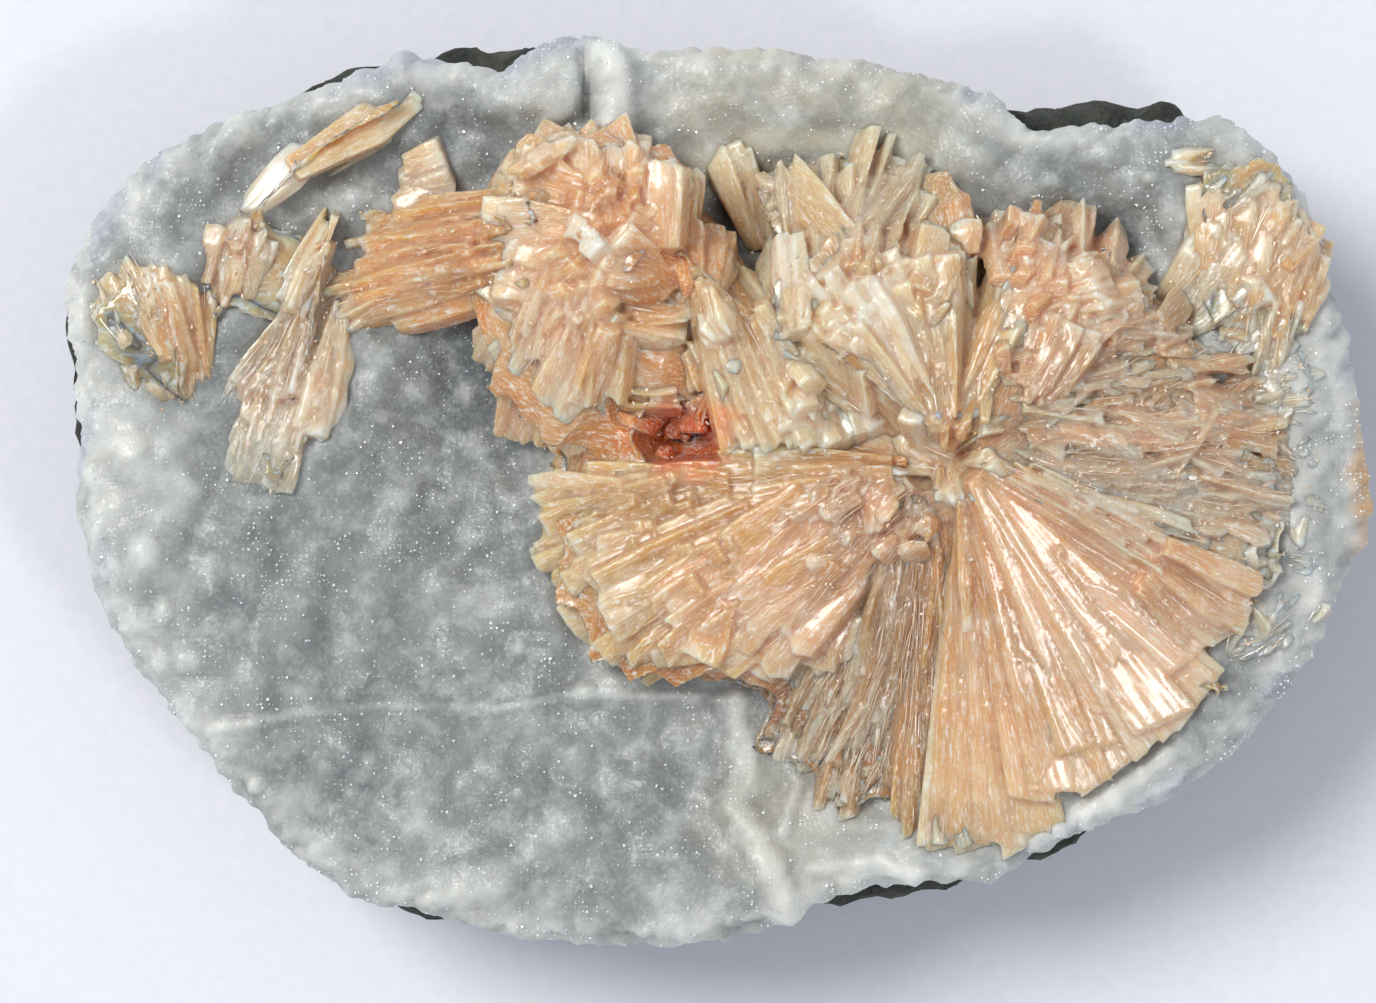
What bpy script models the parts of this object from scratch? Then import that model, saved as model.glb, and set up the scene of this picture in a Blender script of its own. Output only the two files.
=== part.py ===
"""Stilbite specimen: sprays of flat crystals on a crust of sugary chalcedony over a slab of dark basalt.

It lies on its back as it does on a table. x runs along its length, y across it, and z is up from the foot.
Lengths are in millimetres here, and each finished mesh is in metres.
"""

import math
import random

import bmesh
import bpy
from mathutils import Matrix, Vector, geometry, noise

MM = 0.001

# The slab's outline seen from above, anticlockwise from its right end.
OUTLINE = (
    (52.0, -2.4), (51.2, 4.8), (50.2, 11.6), (48.4, 16.4), (47.4, 21.2), (44.8, 25.4), (40.2, 29.6),
    (34.8, 30.6), (26.8, 30.4), (21.6, 31.4), (13.2, 33.4), (3.6, 34.6), (-6.0, 35.0), (-10.6, 36.0),
    (-16.6, 34.8), (-21.2, 35.4), (-30.8, 32.6), (-37.2, 30.0), (-44.6, 26.2), (-49.2, 21.2),
    (-51.8, 14.4), (-50.8, 4.8), (-49.8, -4.8), (-46.8, -12.0), (-40.4, -20.4), (-36.0, -26.6),
    (-30.8, -31.0), (-21.2, -34.2), (-10.0, -36.0), (4.0, -34.8), (12.4, -32.6), (26.0, -29.6),
    (32.4, -26.0), (38.0, -23.0), (44.4, -16.8), (47.4, -12.6), (49.4, -8.0),
)
EDGE_STEPS = 80
EDGE_CHIPS = 0.35
PAST_EDGE = (1.05, 1.2)

# Heights above the foot.
FOOT = 0.0
DISH_LEVEL = 18.0
RIM_RISE = 3.6
CRUST_THICKNESS = 4.6
GAP = 0.3

# The crust's rounded edge: its share of the outline's reach, and how far down it lies.
FACE_SHARE, FACE_DROP = 0.975, 0.5
UNDERSIDE_DROPS = ((1.0, 2.0), (0.995, 3.8))
INTERFACE_SHARES = (0.96, 0.75, 0.43)

# The basalt tucks in under the crust, and stands proud where the crust's edge is broken back.
# Its sides, from the foot up: how far in they lie, their height and its unevenness.
BASALT_TUCK = 1.7
BASALT_SIDES = ((9.0, FOOT, 0.0), (3.4, 4.4, 2.4), (0.9, 10.0, 3.0))
ROCK_SIZE = 8.0
ROCK_DEPTH = 2.4

# Where the crust's edge is broken back: bearing in degrees, half width in degrees, depth.
BREAKS = (
    (46.0, 7.0, 2.6), (118.0, 5.0, 2.2), (134.0, 8.0, 0.5), (170.0, 8.0, 0.9),
    (218.0, 2.5, 1.0), (236.0, 2.5, 0.8), (292.0, 10.0, 1.3), (314.0, 7.0, 1.1),
)

# Swells and hollows of the crust: x, y, spread, height.
SWELLS = (
    (20.0, 0.0, 21.0, 2.6), (-4.0, 12.0, 11.0, 1.6), (-27.6, -24.8, 6.5, -1.6), (-18.4, 5.0, 5.0, -2.8),
    (-33.0, 25.0, 6.5, -1.8), (-22.0, 28.6, 5.0, -1.4), (33.0, 20.0, 4.2, -2.2), (1.8, 21.6, 3.8, -4.0),
    (-13.0, 31.0, 3.0, 2.2), (-8.6, 31.6, 2.4, 2.4), (-45.0, 18.0, 5.0, 1.2), (-38.0, -8.0, 6.0, 1.2),
    (4.5, -28.0, 3.6, 1.4), (5.0, 30.0, 8.0, 1.0), (40.0, 27.0, 5.0, 0.8), (-5.0, -22.0, 5.0, 0.6),
)
# Rounded lumps lie all over the crust, but not under the crystals, where it is plain.
LUMP_WIDTHS = (3.4, 7.4)
LUMP_STEEPNESS = (0.08, 0.26)
LUMP_TRIES = 2600
HOLLOW_DEPTH = 0.3
LUMPS_REACH = 0.93
COVERED = (
    ((13.0, -1.0), (25.0, 20.0)), ((-7.0, 17.0), (9.0, 8.0)), ((-44.6, 11.6), (5.4, 6.6)),
    ((41.6, 19.4), (6.4, 8.4)), ((-34.0, 9.0), (5.0, 12.0)),
)

# The pit in the main spray.
PIT_CENTRE = (-2.6, 4.2, 26.4)
PIT_RADII = (3.6, 2.5, 5.2)

# Sprays of crystals. Each fan is a name, its point of growth (x, y, top), the bearings that it spans in
# degrees, how far its crystals reach and the height of their tips along that span, the clear stretch
# at the point of growth, the crystals' thickness and their number.
MAIN_FANS = (
    ("lower_right", (19.4, 0.6, 30.4), (-91, -17), (29.0, 26.6, 26.0, 27.4, 25.2), (23.4, 23.6, 24.2), 0, 6.5, 12),
    ("right", (20.0, 1.8, 30.8), (-22, 4), (27.0, 27.6, 26.4), (24.2, 24.8), 0, 5.5, 5),
    ("right_upper", (20.0, 2.6, 31.0), (0, 34), (25.0, 22.4, 21.6), (25.2, 25.6), 0, 5.5, 5),
    ("upper_right", (19.4, 4.0, 31.2), (28, 78), (21.0, 19.6, 21.4), (26.4, 27.0), 0, 6.0, 7),
    ("top_low", (17.6, 3.6, 30.2), (80, 128), (21.0, 24.4, 25.6, 28.4), (25.0, 24.0), 2, 4.6, 7),
    ("top_high", (17.4, 3.6, 31.4), (84, 140), (15.4, 18.0, 21.0, 19.0), (29.4, 30.2), 0, 5.0, 7),
    ("seam", (-2.6, 18.4, 31.0), (-74, -38), (16.4, 19.4, 17.4), (28.2, 28.6), 0, 5.0, 5),
    ("upper_left", (-6.4, 16.6, 31.2), (58, 172), (11.4, 13.0, 15.4, 14.2), (27.6, 28.4, 27.4), 0, 6.5, 9),
    ("upper_left_low", (-7.0, 16.4, 30.0), (172, 262), (12.6, 14.2, 15.6, 15.4), (26.4, 25.0, 24.6), 0, 5.0, 8),
    ("arm", (-4.0, 26.0, 30.6), (196, 212), (23.4, 25.6, 26.6), (22.8, 22.2), 11, 4.6, 5),
    ("middle", (15.0, 1.6, 28.8), (166, 192), (21.0, 27.0, 26.0), (26.0, 25.4), 0, 6.5, 6),
    ("middle_short", (15.6, 0.6, 29.4), (184, 236), (13.4, 12.0, 14.0), (27.4, 26.8), 0, 6.0, 5),
    ("lower_left", (11.6, -0.6, 28.8), (183, 247), (27.0, 27.6, 25.4, 20.4, 18.6), (24.4, 24.4), 2, 5.5, 10),
    ("lower_middle", (17.4, 0.4, 28.8), (233, 270), (26.6, 29.0, 29.6), (21.6, 22.2), 0, 5.5, 6),
)
LEFT_FANS = (
    ("left_strand", (-29.4, 22.2, 23.0), (245, 259), (21.0, 25.4, 24.4), (20.4, 20.6), 0, 3.6, 7),
    ("left_root", (-38.6, 14.8, 22.0), (44, 82), (7.4, 8.0), (23.0, 22.6), -2, 3.6, 4),
    ("long_blade", (-38.8, 19.2, 23.4), (41, 46), (12.2, 12.8), (24.4, 24.2), 0, 2.6, 2),
    ("long_blade_end", (-32.4, 25.8, 24.6), (28, 34), (10.8, 10.4), (24.0, 23.8), -1, 2.4, 2),
)
ORANGE_FANS = (
    ("orange", (-41.8, 6.6, 22.8), (90, 148), (10.6, 12.4, 9.0), (23.6, 23.2), 0, 3.4, 7),
)
RIGHT_FANS = (
    ("right_edge", (38.8, 12.0, 23.2), (38, 96), (11.6, 15.4, 15.0), (23.4, 23.8), 0, 3.8, 8),
    ("right_edge_low", (40.4, 9.6, 23.0), (24, 60), (7.6, 9.0), (22.8, 22.8), 0, 3.4, 4),
)

# Rounded hearts that the crystals grow out of: centre, radii.
MAIN_HEARTS = (((11.0, 0.0, 17.5), (26.0, 19.0, 9.4)), ((-6.0, 14.0, 19.5), (10.4, 10.4, 8.2)))
LEFT_HEARTS = (((-35.4, 17.0, 19.6), (5.6, 4.6, 3.0)), ((-32.6, 8.0, 18.6), (3.4, 9.0, 2.6)))
ORANGE_HEARTS = (((-43.8, 10.8, 19.6), (3.6, 4.0, 2.6)),)
RIGHT_HEARTS = (((41.4, 17.0, 20.2), (5.0, 8.4, 2.9)),)

# A crystal's cross sections from root to tip: the place along it, its shares of the full width and of
# the full thickness, and how far its top is sunk, as a share of the thickness.
CRYSTAL_SECTIONS = ((0.0, 0.34, 1.0, 0.0), (0.82, 1.0, 1.0, 0.0), (1.0, 0.52, 0.55, 0.16))
CRYSTAL_OVERLAP = 1.35
LEAST_WIDTH = 1.8
SHORTER = (0.90, 1.0)
THINNER = (0.85, 1.1)
TIP_LIFT = (-0.7, 0.5)
ASTRAY = 0.2
ROLL = 9.0

FINISHES = {
    "basalt": ((0.055, 0.06, 0.055, 1.0), 0.95),
    "chalcedony": ((0.60, 0.65, 0.66, 1.0), 0.35),
    "stilbite": ((0.86, 0.62, 0.42, 1.0), 0.30),
}


def clear_scene():
    for old in list(bpy.data.objects):
        bpy.data.objects.remove(old)


def finish_of(name):
    colour, roughness = FINISHES[name]
    finish = bpy.data.materials.new(name)
    finish.use_nodes = True
    shader = finish.node_tree.nodes["Principled BSDF"]
    shader.inputs["Base Color"].default_value = colour
    shader.inputs["Roughness"].default_value = roughness
    shader.inputs["Metallic"].default_value = 0.0
    return finish


def object_from(mesh, name, finish):
    """A finished solid: a bmesh in millimetres becomes an object in metres."""
    bmesh.ops.scale(mesh, vec=(MM, MM, MM), verts=mesh.verts)
    data = bpy.data.meshes.new(name)
    mesh.to_mesh(data)
    mesh.free()
    made = bpy.data.objects.new(name, data)
    bpy.context.scene.collection.objects.link(made)
    data.materials.append(finish)
    return made


def smooth_share(low, high, value):
    share = min(1.0, max(0.0, (value - low) / (high - low)))
    return share * share * (3 - 2 * share)


def along_list(values, share):
    """The value at a share of the way along a list of evenly spaced values."""
    place = min(1.0, max(0.0, share)) * (len(values) - 1)
    first = min(int(place), len(values) - 2)
    return values[first] + (values[first + 1] - values[first]) * (place - first)


OUTLINE_POLAR = sorted((math.atan2(y, x) % math.tau, math.hypot(x, y)) for x, y in OUTLINE)


def edge_reach(bearing):
    """Distance from the middle to the slab's edge, on a smooth curve through the outline's points."""
    bearing %= math.tau
    count = len(OUTLINE_POLAR)
    after = next((i for i, (at, _) in enumerate(OUTLINE_POLAR) if at > bearing), 0)
    ring = [OUTLINE_POLAR[(after + k) % count] for k in (-2, -1, 0, 1)]
    span = (ring[2][0] - ring[1][0]) % math.tau
    share = ((bearing - ring[1][0]) % math.tau) / span
    before_span = (ring[1][0] - ring[0][0]) % math.tau
    after_span = (ring[3][0] - ring[2][0]) % math.tau
    leave = (ring[2][1] - ring[0][1]) / (before_span + span) * span
    arrive = (ring[3][1] - ring[1][1]) / (span + after_span) * span
    square, cube = share * share, share ** 3
    return (
        (2 * cube - 3 * square + 1) * ring[1][1] + (cube - 2 * square + share) * leave
        + (3 * square - 2 * cube) * ring[2][1] + (cube - square) * arrive
    )


def break_depth(bearing):
    """How far the crust's edge is broken back at a bearing."""
    total = 0.0
    for centre, half_width, depth in BREAKS:
        away = (math.degrees(bearing) - centre + 180) % 360 - 180
        total += depth * (1 - smooth_share(half_width * 0.5, half_width * 1.3, abs(away)))
    return total


def chips(bearing):
    return EDGE_CHIPS * abs(noise.noise(Vector((math.cos(bearing) * 9, math.sin(bearing) * 9, 0.5))))


def crust_swell(x, y):
    """The crust's broad form: a shallow dish with a raised rim, swells and hollows."""
    reach = math.hypot(x, y) / edge_reach(math.atan2(y, x))
    height = DISH_LEVEL + RIM_RISE * smooth_share(0.45, 0.95, reach)
    for at_x, at_y, spread, rise in SWELLS:
        away = ((x - at_x) ** 2 + (y - at_y) ** 2) / (spread * spread)
        height += rise * math.exp(-away)
    return height


def covered(x, y):
    """Whether a place lies well under the crystals."""
    return any(
        ((x - at_x) / wide) ** 2 + ((y - at_y) / deep) ** 2 < 1
        for (at_x, at_y), (wide, deep) in COVERED
    )


def scattered_lumps():
    """Where the lumps are: x, y and width, packed as closely as their widths allow."""
    chance = random.Random("lumps")
    lumps = []
    for _ in range(LUMP_TRIES):
        bearing = chance.uniform(0, math.tau)
        reach = LUMPS_REACH * crust_edge(bearing) * math.sqrt(chance.random())
        x, y = reach * math.cos(bearing), reach * math.sin(bearing)
        width = chance.uniform(*LUMP_WIDTHS)
        if all(math.hypot(x - u, y - v) > (width + w) / 2 for u, v, w in lumps):
            lumps.append((x, y, width))
    return lumps


def crust_points():
    """Points inside the crust's upper face: the top of each lump, and each hollow between three of them."""
    chance = random.Random("heights")
    lumps = scattered_lumps()
    points = []
    for x, y, width in lumps:
        height = 0 if covered(x, y) else width * chance.uniform(*LUMP_STEEPNESS)
        points.append(Vector((x, y, crust_swell(x, y) + height)))
    flat = [Vector(lump[:2]) for lump in lumps]
    for corners in geometry.delaunay_2d_cdt(flat, [], [], 0, 1e-4)[2]:
        x, y = sum((flat[i] for i in corners), Vector((0, 0))) / 3
        if not covered(x, y) and math.hypot(x, y) < LUMPS_REACH * crust_edge(math.atan2(y, x)):
            points.append(Vector((x, y, crust_swell(x, y) - HOLLOW_DEPTH)))
    return points


def ring_points(reach_of, height_of):
    """A closed ring of points, reach_of(bearing) out from the middle and height_of(x, y) high."""
    points = []
    for step in range(EDGE_STEPS):
        bearing = math.tau * step / EDGE_STEPS
        reach = reach_of(bearing)
        x, y = reach * math.cos(bearing), reach * math.sin(bearing)
        points.append(Vector((x, y, height_of(x, y))))
    return points


def close_loop(mesh, loop, cap):
    """Shuts a loop of points: with a fan of faces about a pole, with a net of triangles, or flat for None."""
    if cap is None:
        mesh.faces.new(loop)
    elif isinstance(cap, Vector):
        pole = mesh.verts.new(cap)
        for i in range(len(loop)):
            mesh.faces.new((loop[i], loop[(i + 1) % len(loop)], pole))
    else:
        points, triangles = cap
        verts = loop + [mesh.verts.new(point) for point in points]
        for triangle in triangles:
            mesh.faces.new([verts[i] for i in triangle])


def skin_rings(rings, first_cap, last_cap):
    """A closed mesh over rings of points.

    The rings on faces that lie against each other are given in the same order, so that their triangles match.
    """
    mesh = bmesh.new()
    loops = [[mesh.verts.new(point) for point in ring] for ring in rings]
    for upper, lower in zip(loops, loops[1:]):
        for i in range(len(upper)):
            j = (i + 1) % len(upper)
            mesh.faces.new((upper[i], lower[i], lower[j]))
            mesh.faces.new((upper[i], lower[j], upper[j]))
    close_loop(mesh, loops[0], first_cap)
    close_loop(mesh, loops[-1], last_cap)
    bmesh.ops.recalc_face_normals(mesh, faces=mesh.faces)
    return mesh


def crust_edge(bearing):
    return edge_reach(bearing) - break_depth(bearing) - chips(bearing)


def crust_face(rise):
    """The crust's upper face raised by a distance: the ring round it, the points inside and the triangles."""
    ring = ring_points(
        lambda b: FACE_SHARE * crust_edge(b), lambda x, y: crust_swell(x, y) + rise - FACE_DROP
    )
    inside = [point + Vector((0, 0, rise)) for point in crust_points()]
    flat = [point.to_2d() for point in ring + inside]
    border = [list(range(EDGE_STEPS))]
    triangles = geometry.delaunay_2d_cdt(flat, [], border, 1, 1e-4)[2]
    return ring, inside, triangles


def interface_rings(sink):
    """Rings where the crust meets the basalt, from the edge in, lowered by a distance."""
    return [
        ring_points(
            lambda b, s=share: s * crust_edge(b),
            lambda x, y: crust_swell(x, y) - CRUST_THICKNESS - sink,
        )
        for share in INTERFACE_SHARES
    ]


def make_crust(finish):
    ring, inside, triangles = crust_face(0)
    rings = [ring]
    for share, drop in UNDERSIDE_DROPS:
        rings.append(
            ring_points(
                lambda b, s=share: s * crust_edge(b), lambda x, y, d=drop: crust_swell(x, y) - d
            )
        )
    rings += interface_rings(0)
    middle = Vector((0, 0, crust_swell(0, 0) - CRUST_THICKNESS))
    return object_from(skin_rings(rings, (inside, triangles), middle), "chalcedony_crust", finish)


def basalt_edge(bearing):
    """The basalt's edge under the crust: tucked in, but proud where the crust is broken back."""
    bare = min(1.0, break_depth(bearing) / 0.4)
    return edge_reach(bearing) - BASALT_TUCK * (1 - bare) - chips(bearing) * 0.6


def basalt_ring(tuck, height, uneven):
    """One ring round the broken side of the basalt."""

    def reach(bearing):
        edge = basalt_edge(bearing)
        place = Vector((edge * math.cos(bearing), edge * math.sin(bearing), height))
        return edge - tuck + ROCK_DEPTH * noise.noise(place / ROCK_SIZE)

    def level(x, y):
        return height + uneven * noise.noise(Vector((x, y, tuck)) / ROCK_SIZE)

    return ring_points(reach, level)


def make_basalt(finish):
    rings = [basalt_ring(*side) for side in BASALT_SIDES]
    rings.append(
        ring_points(basalt_edge, lambda x, y: crust_swell(x, y) - CRUST_THICKNESS - 2 * GAP)
    )
    rings += interface_rings(GAP)
    middle = Vector((0, 0, crust_swell(0, 0) - CRUST_THICKNESS - GAP))
    return object_from(skin_rings(rings, None, middle), "basalt_matrix", finish)


def crystal(start, end, width, thickness, roll):
    """One flat crystal, widest near its tip and chisel ended. Its top runs from start to end."""
    forward = (end - start).normalized()
    across = Vector((0, 0, 1)).cross(forward).normalized()
    up = forward.cross(across)
    turn = Matrix.Rotation(roll, 3, forward)
    across, up = turn @ across, turn @ up
    mesh = bmesh.new()
    rings = []
    for along, wide, thick, sunk in CRYSTAL_SECTIONS:
        middle = start.lerp(end, along) - up * thickness * sunk
        half = across * (width * wide / 2)
        deep = up * (thickness * thick)
        corners = (middle + half, middle - half, middle - half - deep, middle + half - deep)
        rings.append([mesh.verts.new(corner) for corner in corners])
    for upper, lower in zip(rings, rings[1:]):
        for i in range(4):
            j = (i + 1) % 4
            mesh.faces.new((upper[i], upper[j], lower[j], lower[i]))
    mesh.faces.new(rings[0])
    mesh.faces.new(rings[-1])
    bmesh.ops.recalc_face_normals(mesh, faces=mesh.faces)
    return mesh


def fan_crystals(fan):
    """The crystals of one fan, as closed meshes."""
    name, origin, span, reaches, tips, clear, thickness, count = fan
    chance = random.Random(name)
    meshes = []
    spread = math.radians(span[1] - span[0])
    for i in range(count):
        share = (i + 0.5 + chance.uniform(-ASTRAY, ASTRAY)) / count
        bearing = math.radians(span[0]) + spread * share
        reach = along_list(reaches, share) * chance.uniform(*SHORTER)
        tip = along_list(tips, share) + chance.uniform(*TIP_LIFT)
        ahead = Vector((math.cos(bearing), math.sin(bearing), 0))
        start = Vector(origin) + ahead * clear
        end = Vector((origin[0], origin[1], tip)) + ahead * reach
        width = max(LEAST_WIDTH, CRYSTAL_OVERLAP * reach * spread / count)
        roll = math.radians(chance.uniform(-ROLL, ROLL))
        meshes.append(crystal(start, end, width, thickness * chance.uniform(*THINNER), roll))
    return meshes


def heart(centre, radii):
    mesh = bmesh.new()
    bmesh.ops.create_icosphere(mesh, subdivisions=2, radius=1.0)
    for vert in mesh.verts:
        vert.co = Vector([c + r * v for c, r, v in zip(centre, radii, vert.co)])
    return mesh


def crust_cutter():
    """All that lies under the crystals, a little above the crust, reaching past the slab's edge."""
    ring, inside, triangles = crust_face(GAP)
    past_edge = [
        ring_points(
            lambda b, s=share: s * edge_reach(b), lambda x, y: crust_swell(x, y) + GAP - FACE_DROP
        )
        for share in PAST_EDGE
    ]
    foot = ring_points(lambda b: PAST_EDGE[-1] * edge_reach(b), lambda x, y: FOOT)
    return skin_rings([ring, *past_edge, foot], (inside, triangles), None)


def helper(mesh, name):
    """An object that only cuts or joins, left out of renders."""
    data = bpy.data.meshes.new(name)
    mesh.to_mesh(data)
    mesh.free()
    made = bpy.data.objects.new(name, data)
    bpy.context.scene.collection.objects.link(made)
    made.hide_render = True
    made.display_type = "WIRE"
    return made


def boolean(target, operation, other):
    """Joins or cuts. The exact solver leaves doubled edges where this many flat crystals cross."""
    cut = target.modifiers.new(operation, "BOOLEAN")
    cut.operation = operation
    cut.solver = "MANIFOLD"
    if isinstance(other, bpy.types.Collection):
        cut.operand_type = "COLLECTION"
        cut.collection = other
    else:
        cut.object = other
    graph = bpy.context.evaluated_depsgraph_get()
    result = bpy.data.meshes.new_from_object(target.evaluated_get(graph))
    target.modifiers.clear()
    target.data = result


def keep_largest_body(mesh):
    """Drops the crumbs that trimming against the crust leaves loose."""
    unseen = set(mesh.faces)
    bodies = []
    while unseen:
        stack = [unseen.pop()]
        body = []
        while stack:
            face = stack.pop()
            body.append(face)
            beside = {other for edge in face.edges for other in edge.link_faces}
            stack += beside & unseen
            unseen -= beside
        bodies.append(body)
    bodies.sort(key=len)
    for body in bodies[:-1]:
        bmesh.ops.delete(mesh, geom=body, context="FACES")


def make_spray(name, fans, hearts, cutter, finish, pits=()):
    """A group of crystals grown together: joined, trimmed to the crust and left as one solid."""
    group = bpy.data.collections.new(name + "_pieces")
    pieces = []
    for fan in fans:
        pieces += fan_crystals(fan)
    pieces += [heart(*shape) for shape in hearts[1:]]
    for number, piece in enumerate(pieces):
        made = helper(piece, f"{name}_piece_{number}")
        bpy.context.scene.collection.objects.unlink(made)
        group.objects.link(made)
    body = helper(heart(*hearts[0]), name + "_body")
    boolean(body, "UNION", group)
    for number, (centre, radii) in enumerate(pits):
        boolean(body, "DIFFERENCE", helper(heart(centre, radii), f"{name}_pit_{number}"))
    boolean(body, "DIFFERENCE", cutter)
    mesh = bmesh.new()
    mesh.from_mesh(body.data)
    keep_largest_body(mesh)
    return object_from(mesh, name, finish)


def main():
    clear_scene()
    finishes = {name: finish_of(name) for name in FINISHES}
    make_basalt(finishes["basalt"])
    make_crust(finishes["chalcedony"])
    cutter = helper(crust_cutter(), "under_the_crystals")
    stilbite = finishes["stilbite"]
    make_spray(
        "stilbite_main_spray", MAIN_FANS, MAIN_HEARTS, cutter, stilbite, ((PIT_CENTRE, PIT_RADII),)
    )
    make_spray("stilbite_left_sheaf", LEFT_FANS, LEFT_HEARTS, cutter, stilbite)
    make_spray("stilbite_orange_fan", ORANGE_FANS, ORANGE_HEARTS, cutter, stilbite)
    make_spray("stilbite_right_sheaf", RIGHT_FANS, RIGHT_HEARTS, cutter, stilbite)


main()
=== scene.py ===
"""Looks for the stilbite specimen: sprays of flat crystals on sugary chalcedony over a slab of dark basalt.

Lengths are in millimetres until a piece is finished, and in metres from then on.
"""

import math
import random
from collections import namedtuple

import bmesh
import bpy
import numpy as np
from mathutils import Matrix, Vector
from mathutils.bvhtree import BVHTree
from mathutils.kdtree import KDTree


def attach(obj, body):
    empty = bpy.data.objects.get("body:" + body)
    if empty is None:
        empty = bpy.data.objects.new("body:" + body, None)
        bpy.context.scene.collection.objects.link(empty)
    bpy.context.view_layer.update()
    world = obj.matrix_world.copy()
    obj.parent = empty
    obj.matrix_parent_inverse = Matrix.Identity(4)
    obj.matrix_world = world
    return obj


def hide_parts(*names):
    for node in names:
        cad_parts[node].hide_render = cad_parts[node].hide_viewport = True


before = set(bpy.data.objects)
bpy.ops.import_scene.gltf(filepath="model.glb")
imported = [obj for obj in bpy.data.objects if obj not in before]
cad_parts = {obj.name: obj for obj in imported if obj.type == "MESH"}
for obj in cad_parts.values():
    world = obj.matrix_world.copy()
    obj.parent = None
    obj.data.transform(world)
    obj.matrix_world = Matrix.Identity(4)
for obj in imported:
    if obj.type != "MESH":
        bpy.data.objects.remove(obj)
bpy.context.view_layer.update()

MM = 0.001
CRYSTAL_VOXEL = 0.2
BED_VOXEL = 0.5
CRUST_VOXEL = 0.42
ROCK_VOXEL = 0.7

# A remeshing leaves loose crumbs behind, which have fewer points than these.
CRYSTAL_CRUMB, BED_CRUMB = 80, 150

# How many smoothings show a crystal's edges, the hollows between crystals and the valleys between sheaves,
# where painted highlights and painted shade go.
EDGE_RELIEF, HOLLOW_RELIEF, VALLEY_RELIEF = 3, 24, 90
# How many smoothings show the bed's raised places, which get a painted highlight.
BED_RELIEF = 16

# How often the surface of a group is smoothed, where it is softer than the others.
SOFTNESS = {
    "crystals_slab": 4, "crystals_under": 2, "crystals_rim": 3, "crystals_orange": 4, "crystals_left": 2,
}

# The size of a crystal as modelled, before its copies are stretched: length, width and thickness.
CRYSTAL_SIZE = (10.0, 2.0, 1.0)

# How thick the copies are, and the height that their ends stay under.
CRYSTAL_THICKNESSES = (2.2, 3.4)
CRYSTAL_TOP = 31.2

# The spread of the crystals' heights in a sheaf, at no roll and more for each degree of it.
LIFT_SPREAD, LIFT_SPREAD_BY_ROLL = 0.05, 0.018

# The ground's height where a crystal is over nothing, and how far at most one is lifted over a rise below it.
USUAL_GROUND, MOST_CLEARANCE = 20.0, 1.2

# How much of its colour is a crystal's own and not its sheaf's, and the spread of their lightness.
OWN_COLOUR, LIGHTNESS_SPREAD = 0.45, 0.035

# How far the grain of one crystal may be shifted from that of the next.
GRAIN_SHIFT = 90

# How far a bed is sunk into its solid on all sides and then lowered.
BED_INSET, BED_DROP = 0.8, 0.3

# The middle of the star, and how much of a bed's grain one radian round it makes.
STAR_CENTRE = np.array((19.0, 1.0, 0.0))
GRAIN_TURN = 14.0

# The pit, and the share of its radii, drawn between these, that a crystal keeps free.
PIT_CENTRE = np.array((-2.0, 4.1, 26.4))
PIT_RADII = np.array((3.3, 2.5, 5.2))
PIT_ROOM = (0.75, 1.05)

# Rays that look for the ground start at this height.
SKY = 60.0

# The crust's round swellings: how many there are, their radii, and their height as a share of the radius.
BUBBLES = 900
BUBBLE_RADII = (1.2, 3.0)
BUBBLE_RISE = 0.28

DRUSE_POINTS = 5600


# Small helpers

def linear(red, green, blue):
    """A colour as seen, 0 to 255, as the linear values that a shader takes."""
    shares = [value / 255 for value in (red, green, blue)]
    return tuple(s / 12.92 if s <= 0.04045 else ((s + 0.055) / 1.055) ** 2.4 for s in shares)


def only(piece):
    """Selects this piece alone and makes it the active one."""
    bpy.ops.object.select_all(action="DESELECT")
    piece.select_set(True)
    bpy.context.view_layer.objects.active = piece


def modify(piece, kind, **settings):
    """Adds a modifier with these settings and applies it."""
    only(piece)
    modifier = piece.modifiers.new(kind.title(), kind)
    for name, value in settings.items():
        setattr(modifier, name, value)
    bpy.ops.object.modifier_apply(modifier=modifier.name)


def placed(name, mesh):
    """A new piece in the scene, with this mesh."""
    piece = bpy.data.objects.new(name, mesh)
    bpy.context.scene.collection.objects.link(piece)
    return piece


def copied(name, shape, place):
    """A copy of a shape, brought to its place by a matrix."""
    mesh = shape.data.copy()
    mesh.transform(place)
    return placed(name, mesh)


def working_copy(node, name):
    """A piece that starts as a copy of a solid, closed up, in millimetres."""
    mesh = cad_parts[node].data.copy()
    mesh.materials.clear()
    mesh.transform(Matrix.Scale(1 / MM, 4))
    piece = placed(name, mesh)
    only(piece)
    bpy.ops.object.mode_set(mode="EDIT")
    bpy.ops.mesh.select_all(action="SELECT")
    bpy.ops.mesh.remove_doubles(threshold=0.001)
    bpy.ops.object.mode_set(mode="OBJECT")
    return piece


def joined(name, parts):
    """Several pieces as one."""
    bpy.ops.object.select_all(action="DESELECT")
    for part in parts:
        part.select_set(True)
    bpy.context.view_layer.objects.active = parts[0]
    bpy.ops.object.join()
    whole = bpy.context.view_layer.objects.active
    whole.name = name
    return whole


def drop_crumbs(piece, least):
    """Deletes the loose bits that have fewer points than this, which a remeshing leaves behind."""
    only(piece)
    bpy.ops.object.mode_set(mode="EDIT")
    bpy.ops.mesh.select_all(action="SELECT")
    bpy.ops.mesh.separate(type="LOOSE")
    bpy.ops.object.mode_set(mode="OBJECT")
    name, kept = piece.name, []
    for bit in list(bpy.context.selected_objects):
        if len(bit.data.vertices) < least:
            bpy.data.objects.remove(bit)
        else:
            kept.append(bit)
    return joined(name, kept)


def shade_smooth(piece):
    for polygon in piece.data.polygons:
        polygon.use_smooth = True


def vectors_of(elements, field):
    """A vector of each point or face, such as its place or its normal, as rows."""
    values = np.empty(len(elements) * 3)
    elements.foreach_get(field, values)
    return values.reshape(-1, 3)


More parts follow.
